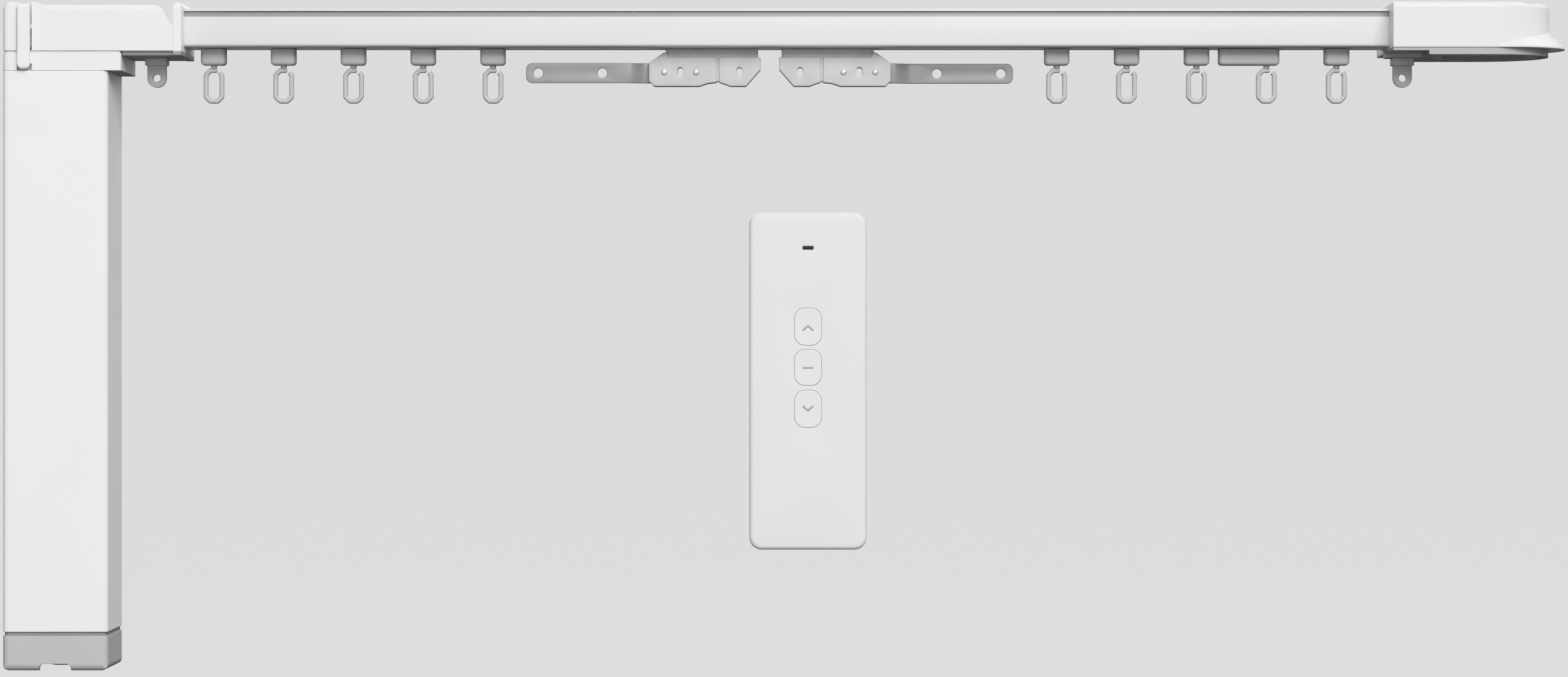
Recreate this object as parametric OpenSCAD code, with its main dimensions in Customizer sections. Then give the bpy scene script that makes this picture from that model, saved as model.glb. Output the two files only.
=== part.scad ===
// Electric curtain track: a rail with a belt drive, a motor hanging from its left end, an idler at its
// right end, two master carriers, ten runners with swivel eyes, and a hand-held remote.
// Millimetres. +X runs along the rail, -Y faces the room, +Z is up.
// The origin is the middle of the rail's top face.

/* [Rail] */
// Length of the aluminium rail
rail_len = 575; // [500:5:1500]
// Height of the rail
rail_h = 18; // [17:0.5:22]
// Thickness of the rail's walls
rail_wall = 1.4; // [1.2:0.1:1.8]
// Radius of the rail's lower outer edges
rail_edge = 1.5; // [0.5:0.1:1.8]
// Width of the slot that the runners hang through
slot_w = 7.5; // [6.5:0.25:8]
// Height of the grooves that ceiling clips grip
clip_groove_h = 2.2; // [1.6:0.1:2.8]
// Depth of the grooves that ceiling clips grip
clip_groove_d = 1.2; // [0.8:0.1:1.6]

/* [Belt and pulleys] */
// Tooth pitch of the drive pulley
belt_pitch = 3; // [2.6:0.05:3.2]
// Teeth on the drive pulley
pulley_teeth = 24; // [21:1:26]
// Width of the belt
belt_w = 6; // [5:0.5:6.5]
// Thickness of the belt
belt_t = 1.3; // [1:0.1:1.6]

/* [Motor] */
// Width of the motor, along the rail
motor_w = 50; // [48:1:56]
// Depth of the motor, front to back
motor_d = 50; // [48:1:58]
// Length of the motor below the drive head
motor_len = 294.5; // [260:0.5:340]
// Radius of the motor's upright edges
motor_corner_r = 3; // [2.5:0.5:5]
// Height of the collar cap at the top of the motor
top_cap_h = 9.5; // [9:0.5:12]
// Reach of the collar cap's lip beyond the motor
top_lip = 6.4; // [4:0.2:9]
// Height of the end cap at the bottom of the motor
end_cap_h = 18.5; // [16:0.5:24]
// Width of the notch in the end cap's front edge
cap_notch_w = 15; // [10:0.5:20]

/* [Drive head] */
// Distance from the rail's end to the drive pulley's axis
head_reach = 60; // [56:1:75]
// Height of the drive head above the rail's top
head_rise = 1.2; // [0.8:0.1:2.4]
// Drop of the drive head below the rail's underside
head_below = 2.6; // [2.2:0.1:4]
// Thickness of the collar plate at the rail's end
collar_t = 4; // [3:0.5:6]
// Height of the collar plate above the rail's top
collar_rise = 2.5; // [1.5:0.1:4]
// Angle at which the head's shoulder runs back, seen from above
shoulder_skew = 8.5; // [0:0.5:10]
// Width of the motor latch
latch_w = 5.6; // [5:0.2:6.4]
// Distance from the motor's axis to the latch
latch_offset = 14.5; // [13.5:0.1:16]

/* [Idler end] */
// Distance from the rail's end to the idler's axis
idler_reach = 47.5; // [44:0.5:56]
// Radius of the idler drum
drum_r = 31; // [29.5:0.5:33]
// Height of the idler housing above the rail's top
idler_rise = 2.5; // [1.5:0.1:3.5]
// Drop of the idler cover below the rail's underside
idler_below = 1.2; // [0.8:0.1:2]
// Reach of the flared lip beyond the drum
flare_reach = 7.5; // [3:0.1:8]

/* [Master carriers] */
// Place along the rail where the two carriers meet
meet_x = -8; // [-20:0.5:20]
// Space between the carriers' noses when closed
carrier_gap = 8.9; // [4:0.1:12]
// Length of a carrier's lower body
body_len = 53.5; // [52:0.5:60]
// Thickness of a carrier's lower body
body_t = 9; // [8:0.5:11]
// Level of the carriers' underside
body_bottom = -36.4; // [-38:0.1:-36]
// Distance from a carrier's nose to the tip of its arm
arm_len = 112.5; // [100:0.5:125]
// Height of an arm
arm_h = 9.6; // [9:0.1:10]
// Thickness of an arm
arm_t = 2; // [1.6:0.1:2.4]
// Radius of the curtain holes in an arm
arm_hole_r = 2.3; // [1.8:0.1:2.8]
// Radius of the wheels
wheel_r = 3.6; // [3.2:0.1:4]

/* [Runners] */
// Runners on each side
runner_count = 5; // [2:1:5]
// Clear rail between the left arm and its first runner
first_gap_left = 16; // [12:0.5:30]
// Clear rail between the right arm and its first runner
first_gap_right = 20.8; // [12:0.1:30]
// Distance from the last left runner to the rail's end
end_gap_left = 12.5; // [9:0.5:30]
// Distance from the last right runner to the rail's end
end_gap_right = 23.4; // [9:0.1:40]
// Width of a runner along the rail
runner_w = 12; // [10.5:0.5:12.5]
// Extra length of the long runner's block
long_block = 17.2; // [10:0.1:18]
// Clear rail beside the long block, as a share of the clear rail between the other runners
long_share = 0.2033; // [0.15:0.01:0.6]
// Outer width of an eye
eye_w = 10; // [9:0.25:10.5]
// Height of the hole in an eye
eye_hole_h = 12.4; // [11:0.2:16]
// Thickness of an eye's bar
eye_bar = 2.4; // [2:0.1:2.6]

/* [End hooks] */
// Distance from the rail's end to the motor-side hook
hook_in_left = 14.8; // [12:0.1:17]
// Distance from the rail's end to the idler-side hook
hook_in_right = 8.2; // [7.5:0.1:10]
// Width of a hook's tongue
hook_w = 8.8; // [7.5:0.1:10]
// Radius of the hole in a hook
hook_hole_r = 1.75; // [1.4:0.05:2.2]

/* [Remote] */
// Width of the remote
remote_w = 56.8; // [50:0.2:64]
// Height of the remote
remote_h = 163; // [150:1:180]
// Thickness of the remote
remote_t = 12; // [11:0.5:16]
// Radius of the remote's corners
remote_r = 6; // [4:0.5:8]
// Place of the remote's middle along the rail
remote_x = 10.4; // [-60:0.2:80]
// Level of the remote's middle
remote_z = -177.9; // [-220:0.1:-140]
// Width of the remote's buttons
button_w = 13; // [11:0.5:16]

/* [Hidden] */
$fn = 64;
// Clearance between pieces that move past each other
move_gap = 0.3;
// Clearance between pieces that are fixed together
fit_gap = 0.15;
// Radial clearance of a turning fit
run_gap = 0.1;
// Radial clearance of a pressed fit
press_gap = 0.02;
// Overlap that makes cuts clean
cut = 1;

// Belt path
tip_drop = 0.38;
tip_r = pulley_teeth * belt_pitch / (2 * PI) - tip_drop;
belt_in_r = tip_r + move_gap;
belt_out_r = belt_in_r + belt_t;
belt_side_gap = 0.9;

// Rail section
rail_w = 2 * (belt_out_r + belt_side_gap + rail_wall);
rail_half = rail_len / 2;
clip_drop = 1.2;
floor_t = 1.5;
floor_z = -rail_h + floor_t;
shoulder_z = -(clip_drop + clip_groove_h + rail_wall);
rib_t = 1;
rib_out = belt_in_r - 1.5;
rib_in = rib_out - rib_t;
rib_z = -rail_wall - 4;
upstand_z = floor_z + 2.4;
belt_bottom = floor_z + 1.1;
belt_top = belt_bottom + belt_w;
belt_zc = belt_bottom + belt_w / 2;
tongue_l = 25;
tongue_t = 3.5;

// Pulleys
face_half = belt_w / 2 + 0.5;
rim_t = 1.2;
rim_r = tip_r + 2.2;
pulley_top = belt_zc + face_half + rim_t;
pulley_bottom = belt_zc - face_half - rim_t;
journal_r = 4;
shoulder_r = 5.2;
bearing_r = 8;
bearing_h = 4;
hex_af = 5;

// Drive head
shell = 2;
motor_x = -rail_half - head_reach;
head_left = motor_x - motor_w / 2;
collar_x = -rail_half - collar_t;
seam_z = -rail_h - head_below;
pad_t = 2.1;
seam_groove = 0.6;
seam_line = 1.2;
pad_z = seam_z - pad_t;
upper_bearing_z = pulley_top + 1.5;
lower_bearing_z = pulley_bottom - 2.3 - bearing_h;
scoop_bottom = belt_top + 1.2;
shoulder_x = collar_x - 9.1;
shoulder_back = motor_d * tan(shoulder_skew);
collar_edge = 1.5;
screw_r = 1.5;
screw_head_r = 2.7;
screw_head_h = 1.5;
sunk = 0.05;
boss_r = 3.3;
head_screws = [
    [motor_x, motor_d / 2 - 5.5],
    [motor_x, -motor_d / 2 + 5.5],
    [collar_x - 8, motor_d / 2 - 8],
    [collar_x - 8, -motor_d / 2 + 8]
];

// Latch
latch_x = motor_x - latch_offset;
latch_side = 0.7;
latch_depth = 5;
ear_depth = 9;
ear_r = 5;
ear_run = 6.5;
latch_front = -motor_d / 2 - 3.2;
pivot_y = -motor_d / 2 + 2.2;
pivot_z = seam_z + 11.6;
pivot_r = 1.2;
hook_top = seam_z - 6.2;

// Motor
cap_bottom = seam_z - top_cap_h;
motor_bottom = seam_z - motor_len;
cap_seam = motor_bottom + end_cap_h;
case_wall = 2;
spigot = 4;
port_in = 5.8;
board_y = 8;
board_t = 1.6;
board_gap = 14;
mains_w = 24;
mains_h = 22;
mains_t = 14;
mains_up = 12;
relay_w = 18;
relay_h = 14;
relay_t = 9;
relay_up = 44;
chip_w = 14;
chip_h = 12;
chip_t = 1.4;
chip_down = 18;
plug_w = 28;
plug_h = 10;
plug_t = 10;
plug_down = 2;
store_r = 5;
store_l = 16;
store_up = 76;
shaft_r = 3;
gear_top = cap_bottom - spigot;
gear_m = 0.7;
sun_z = 12;
planet_z = 15;
ring_z = sun_z + 2 * planet_z;
gear_c = gear_m * (sun_z + planet_z) / 2;
ring_r = 18.5;
ring_h = 24;
can_top = gear_top - ring_h;
can_r = 18;
can_h = 68;
planet_h = 12;
planet_top = gear_top - 8;
planet_pin_r = 1.5;
rotor_r = 1.6;
gland_r = 4.5;
gland_bore_r = 3.1;
skirt_h = 6;

// Idler end
idler_x = rail_half + idler_reach;
idler_box_d = 2 * drum_r;
idler_bottom = -rail_h - idler_below;
axle_r = 3;
idler_screws = [
    [idler_x + 20, 15],
    [idler_x + 20, -15],
    [rail_half + 20, idler_box_d / 2 - 5],
    [rail_half + 20, -idler_box_d / 2 + 5]
];

// Carriers
carriage_top = rib_z - 1.6;
web_half = slot_w / 2 - 0.65;
axle_z = floor_z + move_gap + wheel_r;
neck_top = -rail_h - 0.4;
body_top = -rail_h - 2.2;
body_mid = -rail_h - 4.4;
split = 20.5;
rivet_r = 1.1;
rivet_near = 30.9;
rivet_far = 46.1;
rivet_xs = [-rivet_near, -rivet_far];
nose_oval = 10.1;
outer_oval = 38.5;
oval_w = 2.8;
oval_h = 4.6;
dot_z = body_bottom + 6.8;
arm_z = body_bottom + 1.6;
arm_in = 28;
arm_shift = 3;
arm_corner_r = 3;
joggle_in = 0.6;
joggle_run = 10;
joggle_start = body_len + joggle_in;
joggle_end = joggle_start + joggle_run;
tip_hole = 5.9;
mid_hole = 36.6;
wheel_near = 9.5;
wheel_far = 37;
wheel_xs = [-wheel_near, -wheel_far];
clip_x = -23.2;
clip_w = 12;

// Runners
left_tip = meet_x - carrier_gap / 2 - arm_len;
right_tip = meet_x + carrier_gap / 2 + arm_len;
left_first = left_tip - first_gap_left;
left_last = -rail_half + end_gap_left;
right_first = right_tip + first_gap_right;
right_last = rail_half - end_gap_right;
long_runner = 4;
right_extra = runner_count >= long_runner ? long_block : 0;
block_bottom = -rail_h - 8.2;
block_t = 9;
stem_r = 1.5;
stem_head_r = 2.4;
eye_top = block_bottom - 1.2;
eye_hole_top = eye_top - eye_bar;
eye_bottom = eye_hole_top - eye_hole_h - eye_bar;

// Hooks
hook_block = 3.7;
hook_block_w = 12;
hook_block_d = 8;
hook_t = 3;
hook_len = 14.2;
peg_w = 5;
peg_h = 1.2;

// Remote
remote_back = motor_d / 2;
tray_t = 7;
remote_wall = 1.6;
remote_top = remote_h / 2;
up_drop = 55.3;
stop_drop = 75;
down_drop = 95;
button_mid = [remote_top - up_drop, remote_top - stop_drop, remote_top - down_drop];
button_h = [18, 17.4, 18];
button_gap = 0.35;
button_flange = 0.8;
lens_drop = 17.1;
lens_y = remote_top - lens_drop;
lens_w = 5.4;
lens_h = 1.9;
screw_in = 9.5;
remote_screws = [[0, remote_top - screw_in], [0, screw_in - remote_top]];
cell_rise = 35.5;
cell_r = 10;
leg_in = 41.5;
door_rise = 51.5;
door_h = 62;
door_side = 8;

// Helpers

// Points of an arc about c from angle a to angle b
function arc(c, r, a, b, n) =
    [for (i = [0:n]) c + r * [cos(a + (b - a) * i / n), sin(a + (b - a) * i / n)]];

// Clear rail between two blocks, when one of them is longer by extra and takes only its share beside it
function clear_rail(span, extra) =
    extra > 0
        ? (span - (runner_count - 1) * runner_w - extra) / (runner_count - 2 + long_share)
        : span / max(1, runner_count - 1) - runner_w;

// Place of the k-th runner between its first and last place
function runner_at(first, last, k, extra) =
    let (
        side = sign(last - first),
        clear = clear_rail(abs(last - first), extra),
        shift = extra > 0 && k >= long_runner ? extra - (1 - long_share) * clear : 0
    )
    first + side * ((k - 1) * (runner_w + clear) + shift);

// Box from its lowest to its highest corner
module box(a, b) {
    translate(a)
        cube(b - a);
}

// Drawing in Y and Z carried along X from x0 to x1
module along_x(x0, x1) {
    translate([x0, 0, 0])
        rotate([90, 0, 90])
            linear_extrude(x1 - x0)
                children();
}

// Drawing in X and Z carried along Y from y0 to y1
module along_y(y0, y1) {
    translate([0, y1, 0])
        rotate([90, 0, 0])
            linear_extrude(y1 - y0)
                children();
}

// Drawing in X and Y carried up from z0 to z1
module along_z(z0, z1) {
    translate([0, 0, z0])
        linear_extrude(z1 - z0)
            children();
}

// Upright cylinder at x, y between two levels
module post(x, y, r, z0, z1) {
    translate([x, y, z0])
        cylinder(r = r, h = z1 - z0);
}

// Cylinder along Y at x, z
module pin_y(x, z, r, y0, y1) {
    translate([x, y1, z])
        rotate([90, 0, 0])
            cylinder(r = r, h = y1 - y0);
}

// Cylinder along X at y, z
module pin_x(y, z, r, x0, x1) {
    translate([x0, y, z])
        rotate([0, 90, 0])
            cylinder(r = r, h = x1 - x0);
}

// Rectangle with round corners about the origin
module round_rect(w, h, r) {
    square([w - 2 * r, h], center = true);
    square([w, h - 2 * r], center = true);
    for (x = [-1, 1], y = [-1, 1])
        translate([x * (w / 2 - r), y * (h / 2 - r)])
            circle(r);
}

// Upright slot with round ends about the origin
module oval(w, h) {
    square([w, h - w], center = true);
    for (s = [-1, 1])
        translate([0, s * (h - w) / 2])
            circle(w / 2);
}

// Rectangle that stands on base with its two top corners round
module round_top(w, base, top, r) {
    translate([-w / 2, base])
        square([w, top - base - r]);
    translate([-w / 2 + r, base])
        square([w - 2 * r, top - base]);
    for (s = [-1, 1])
        translate([s * (w / 2 - r), top - r])
            circle(r);
}

// Rectangle that hangs from top with its two bottom corners round
module round_bottom(w, base, top, r) {
    translate([-w / 2, base + r])
        square([w, top - base - r]);
    translate([-w / 2 + r, base])
        square([w - 2 * r, top - base]);
    for (s = [-1, 1])
        translate([s * (w / 2 - r), base + r])
            circle(r);
}

// Rail

module rail_section() {
    inner = rail_w / 2 - rail_wall;
    neck = inner - clip_groove_d;
    difference() {
        round_bottom(rail_w, -rail_h, 0, rail_edge);
        translate([-inner, floor_z])
            square([2 * inner, shoulder_z - floor_z]);
        translate([-neck, shoulder_z - cut])
            square([2 * neck, -rail_wall - shoulder_z + cut]);
        translate([-slot_w / 2, -rail_h - cut])
            square([slot_w, floor_t + 2 * cut]);
        for (s = [-1, 1])
            translate([s * rail_w / 2, -clip_drop - clip_groove_h / 2])
                square([2 * clip_groove_d, clip_groove_h], center = true);
    }
    for (s = [0, 1])
        mirror([s, 0]) {
            translate([rib_in, rib_z])
                square([rib_t, -rib_z - rail_wall / 2]);
            translate([rib_in, floor_z - floor_t / 2])
                square([rib_t, upstand_z - floor_z + floor_t / 2]);
        }
}

module rail() {
    color("silver")
        along_x(-rail_half, rail_half)
            rail_section();
}

// Tongue that plugs into the rail under its top wall, from x0 to x1
module tongue(x0, x1) {
    y = rib_in - fit_gap;
    box([x0, -y, -rail_wall - tongue_t], [x1, y, -rail_wall]);
}

// Passages for the two runs of the belt, from x0 to x1
module belt_ways(x0, x1) {
    for (s = [0, 1])
        mirror([0, s, 0])
            box([x0, belt_in_r - 0.8, belt_bottom - 0.6], [x1, belt_out_r + 0.8, belt_top + 0.5]);
}

// Belt and pulleys

// Outline round both pulleys at radius r
module belt_loop(r) {
    translate([motor_x, -r])
        square([idler_x - motor_x, 2 * r]);
    for (x = [motor_x, idler_x])
        translate([x, 0])
            circle(r);
}

module belt() {
    color("dimgray")
        along_z(belt_bottom, belt_top)
            difference() {
                belt_loop(belt_out_r);
                belt_loop(belt_in_r);
            }
}

// Toothed outline of the drive pulley
module pulley_teeth_outline() {
    root = tip_r - 1.2;
    step = 360 / pulley_teeth;
    polygon([
        for (i = [0:pulley_teeth - 1], c = [[root, -0.32], [tip_r, -0.2], [tip_r, 0.2], [root, 0.32]])
            c[0] * [cos((i + c[1]) * step), sin((i + c[1]) * step)]
    ]);
}

// Rims above and below the belt, at x
module pulley_rims(x) {
    post(x, 0, rim_r, pulley_bottom, pulley_bottom + rim_t);
    post(x, 0, rim_r, pulley_top - rim_t, pulley_top);
}

module drive_pulley() {
    color("whitesmoke")
        difference() {
            union() {
                translate([motor_x, 0, 0])
                    along_z(pulley_bottom, pulley_top)
                        pulley_teeth_outline();
                pulley_rims(motor_x);
                post(motor_x, 0, shoulder_r, lower_bearing_z + bearing_h + 0.2, upper_bearing_z - 0.2);
                post(motor_x, 0, journal_r, lower_bearing_z + 0.2, upper_bearing_z + bearing_h);
            }
            translate([motor_x, 0, lower_bearing_z])
                cylinder(r = hex_af / sqrt(3), h = belt_zc - lower_bearing_z, $fn = 6);
        }
}

module pulley_bearings() {
    color("silver")
        for (z = [lower_bearing_z, upper_bearing_z])
            difference() {
                post(motor_x, 0, bearing_r, z, z + bearing_h);
                post(motor_x, 0, journal_r + run_gap, z - cut, z + bearing_h + cut);
                for (f = [z, z + bearing_h])
                    translate([motor_x, 0, f])
                        difference() {
                            cylinder(r = 6.8, h = 0.6, center = true);
                            cylinder(r = 5.4, h = 1, center = true);
                        }
            }
}

module idler_pulley() {
    color("whitesmoke")
        difference() {
            union() {
                post(idler_x, 0, tip_r, pulley_bottom, pulley_top);
                pulley_rims(idler_x);
                post(idler_x, 0, shoulder_r, idler_bottom + move_gap, upper_bearing_z - move_gap);
            }
            post(idler_x, 0, axle_r + run_gap, idler_bottom - cut, upper_bearing_z + cut);
        }
}

// Drive head

// Side outline of the head with its rounded left corner
module head_side() {
    polygon(concat(
        [[head_left, seam_z], [head_left, head_rise - 3]],
        arc([head_left + 3, head_rise - 3], 3, 180, 90, 5),
        [[collar_x, head_rise], [collar_x, seam_z]]
    ));
}

// Scoop between the head's shoulder and the collar, running back at an angle
module shoulder_scoop() {
    translate([shoulder_x, -motor_d / 2, 0])
        rotate([0, 0, shoulder_skew])
            along_y(-5, motor_d + 10)
                polygon(concat(
                    [[0, head_rise + 5]],
                    arc([0, head_rise - 5], 5, 90, 28, 6),
                    [
                        [collar_x - 1.5 - shoulder_x, scoop_bottom + 0.6],
                        [collar_x - shoulder_x, scoop_bottom],
                        [collar_x - shoulder_x + 20, scoop_bottom],
                        [collar_x - shoulder_x + 20, head_rise + 5]
                    ]
                ));
}

// Hollow of the head below its roof, open towards the collar
module head_hollow() {
    roof = head_rise - shell;
    low = belt_top + 0.4;
    intersection() {
        along_y(-motor_d / 2 + shell, motor_d / 2 - shell)
            polygon([
                [head_left + shell, seam_z - cut],
                [head_left + shell, roof],
                [collar_x - 12.5 - shoulder_back, roof],
                [collar_x - 4.5 - shoulder_back, low],
                [collar_x + cut, low],
                [collar_x + cut, seam_z - cut]
            ]);
        translate([(head_left + collar_x) / 2 + shell + 10, 0, 0])
            along_z(seam_z - 2, head_rise)
                round_rect(collar_x - head_left + 20, motor_d - 2 * shell, motor_corner_r - shell);
    }
}

// What stays solid inside the head
module head_inside(floor) {
    difference() {
        union() {
            post(motor_x, 0, bearing_r + 2.2, upper_bearing_z, head_rise);
            for (p = head_screws)
                post(p[0], p[1], boss_r, floor, head_rise);
            for (p = [head_screws[2], head_screws[3]])
                box(
                    [p[0] - 1.2, min(p[1], sign(p[1]) * motor_d / 2), floor],
                    [p[0] + 1.2, max(p[1], sign(p[1]) * motor_d / 2), head_rise]
                );
            latch_block(floor);
        }
        post(motor_x, 0, bearing_r + press_gap, upper_bearing_z - cut, upper_bearing_z + bearing_h);
        post(motor_x, 0, shoulder_r, upper_bearing_z, upper_bearing_z + bearing_h + 0.6);
        for (p = head_screws)
            post(p[0], p[1], screw_r + press_gap, floor - cut, seam_z + 11);
    }
}

// Block that carries the latch in the head's front wall
module latch_block(floor) {
    half = latch_w / 2 + latch_side + 2.2;
    box([latch_x - half, -motor_d / 2, floor], [latch_x + half, -motor_d / 2 + latch_depth + 2, head_rise]);
}

// Raised ears beside the latch, the right one falling away along the head
module latch_ears() {
    half = latch_w / 2 + latch_side;
    low = head_rise - 4;
    intersection() {
        along_y(-motor_d / 2, -motor_d / 2 + ear_depth)
            union() {
                polygon(concat(
                    [[latch_x - half, low], [head_left, low]],
                    arc([head_left + ear_r, collar_rise - ear_r], ear_r, 180, 90, 6),
                    [[latch_x - half, collar_rise]]
                ));
                polygon([
                    [latch_x + half, low],
                    [latch_x + half, collar_rise],
                    [latch_x + half + 1.5, collar_rise],
                    [latch_x + half + ear_run, head_rise - 0.3],
                    [latch_x + half + ear_run, low]
                ]);
            }
        translate([head_left + motor_w / 2, 0, 0])
            along_z(low - 1, collar_rise + cut)
                round_rect(motor_w, motor_d, motor_corner_r);
        along_x(head_left - cut, head_left + motor_w)
            round_top(motor_d, low - 1, collar_rise, 1.2);
    }
}

// Channel and trunnion holes of the latch
module latch_channel() {
    half = latch_w / 2 + latch_side;
    box(
        [latch_x - half, -motor_d / 2 - cut, seam_z - cut],
        [latch_x + half, -motor_d / 2 + latch_depth, head_rise + cut]
    );
    pin_x(pivot_y, pivot_z, pivot_r + run_gap, latch_x - half - 1.9, latch_x + half + 1.9);
}

module head_cover() {
    floor = seam_z + shell + 0.05;
    wide = collar_x - head_left + 20;
    color("white")
        difference() {
            union() {
                intersection() {
                    along_y(-motor_d / 2, motor_d / 2)
                        head_side();
                    translate([head_left + wide / 2, 0, 0])
                        along_z(seam_z - cut, head_rise + cut)
                            round_rect(wide, motor_d, motor_corner_r);
                    along_x(head_left - cut, collar_x + cut)
                        round_top(motor_d, seam_z - cut, head_rise, 2.5);
                }
                latch_ears();
            }
            shoulder_scoop();
            difference() {
                head_hollow();
                head_inside(floor);
            }
            latch_channel();
        }
}

module head_base() {
    plate_y = motor_d / 2 - shell - fit_gap;
    plate_x = head_left + shell + fit_gap;
    pad_x = motor_x + motor_w / 2 + top_lip + move_gap;
    wide = collar_x - plate_x + 20;
    color("gainsboro")
        difference() {
            union() {
                intersection() {
                    translate([plate_x + wide / 2, 0, 0])
                        along_z(seam_z, seam_z + shell)
                            round_rect(wide, 2 * plate_y, motor_corner_r - shell);
                    box([plate_x - cut, -motor_d, seam_z - cut], [collar_x + cut, motor_d, seam_z + 3]);
                }
                post(motor_x, 0, bearing_r + 2, lower_bearing_z - 1, seam_z + cut);
                box([pad_x, -motor_d / 2 + 2, pad_z], [collar_x + cut, motor_d / 2 - 2, seam_z + cut]);
                intersection() {
                    along_x(collar_x, -rail_half)
                        round_top(motor_d, pad_z, collar_rise, 3);
                    translate([collar_x + collar_t / 2, 0, 0])
                        along_y(-motor_d, motor_d)
                            round_top(collar_t, pad_z - cut, collar_rise, collar_t / 2 - 0.05);
                    translate([-rail_half - collar_t, 0, 0])
                        along_z(pad_z - cut, collar_rise + cut)
                            round_rect(2 * collar_t, motor_d, collar_edge);
                }
                tongue(collar_x + cut, -rail_half + tongue_l);
            }
            latch_clear();
            post(motor_x, 0, bearing_r + press_gap, lower_bearing_z, 0);
            post(motor_x, 0, shoulder_r + 0.8, lower_bearing_z - 2, 0);
            belt_ways(collar_x - cut, -rail_half + cut);
            for (p = head_screws)
                post(p[0], p[1], screw_r + fit_gap, pad_z - cut, seam_z + 6);
            for (p = [head_screws[2], head_screws[3]])
                post(p[0], p[1], screw_head_r + fit_gap, pad_z - cut, pad_z + screw_head_h + 0.3);
            for (p = [head_screws[0], head_screws[1]])
                post(p[0], p[1], screw_head_r + fit_gap, seam_z - cut, seam_z + screw_head_h + sunk);
            hook_slot(-rail_half - hook_in_left);
        }
}

// Room in the head's floor for the latch block
module latch_clear() {
    half = latch_w / 2 + latch_side + 2.2 + fit_gap;
    box(
        [latch_x - half, -motor_d, seam_z - cut],
        [latch_x + half, -motor_d / 2 + latch_depth + 2 + fit_gap, seam_z + 4]
    );
}

// Release latch of the motor: a lever on two trunnions with a hook under the collar cap
module motor_latch() {
    front = -motor_d / 2;
    top = head_rise + 0.4;
    bottom = hook_top - 2.6;
    color("white")
        union() {
            intersection() {
                along_x(latch_x - latch_w / 2, latch_x + latch_w / 2)
                    union() {
                        polygon([
                            [latch_front + 1.2, top],
                            [latch_front, top - 1.6],
                            [latch_front, bottom + 1],
                            [latch_front + 0.8, bottom],
                            [front + 2.6, bottom],
                            [front + 2.6, hook_top - move_gap],
                            [front - 0.4, hook_top - move_gap],
                            [front - 0.4, seam_z + 0.6],
                            [front + 1.4, seam_z + 2.2],
                            [front + 1.4, top]
                        ]);
                        translate([pivot_y, pivot_z])
                            circle(2.2);
                        translate([front, pivot_z - 2.2])
                            square([2.2, 4.4]);
                    }
                translate([latch_x, 0, 0])
                    along_y(-motor_d, 0)
                        round_bottom(latch_w, bottom - 0.01, top + cut, latch_w / 2 - 0.4);
            }
            pin_x(
                pivot_y, pivot_z, pivot_r,
                latch_x - latch_w / 2 - latch_side - 1.6, latch_x + latch_w / 2 + latch_side + 1.6
            );
        }
}

// Motor

// Centres of the screw ports in the four corners of the motor, with the corner towards +X and +Y
module at_ports() {
    for (x = [0, 1], y = [0, 1])
        mirror([x, 0])
            mirror([0, y])
                translate([motor_w / 2 - port_in, motor_d / 2 - port_in])
                    children();
}

// Outline of a screw port with the webs that join it to the corner, larger by grow
module port_outline(grow) {
    r = boss_r + grow;
    circle(r);
    translate([-r, 0])
        square([r + port_in, port_in]);
    translate([0, -r])
        square([port_in, r + port_in]);
}

// Outline of the part of a cap that goes into the motor case
module spigot_outline() {
    inset = case_wall + fit_gap;
    difference() {
        round_rect(motor_w - 2 * inset, motor_d - 2 * inset, motor_corner_r - case_wall);
        at_ports()
            port_outline(fit_gap);
        for (s = [-1, 1])
            translate([s * (motor_w / 2 - case_wall), board_y])
                square([7, 5.4], center = true);
    }
}

module motor_case() {
    inner_w = motor_w - 2 * case_wall;
    inner_d = motor_d - 2 * case_wall;
    color("white")
        translate([motor_x, 0, 0])
            along_z(cap_seam, cap_bottom)
                difference() {
                    union() {
                        difference() {
                            round_rect(motor_w, motor_d, motor_corner_r);
                            round_rect(inner_w, inner_d, motor_corner_r - case_wall);
                        }
                        intersection() {
                            at_ports()
                                port_outline(0);
                            round_rect(
                                motor_w - case_wall, motor_d - case_wall, motor_corner_r - case_wall / 2
                            );
                        }
                        for (s = [-1, 1], e = [-1, 1])
                            translate([s * (inner_w / 2 - 1), board_y + e * (board_t / 2 + fit_gap + 0.6)])
                                square([3, 1.2], center = true);
                    }
                    at_ports()
                        circle(screw_r + press_gap);
                }
}

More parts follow.
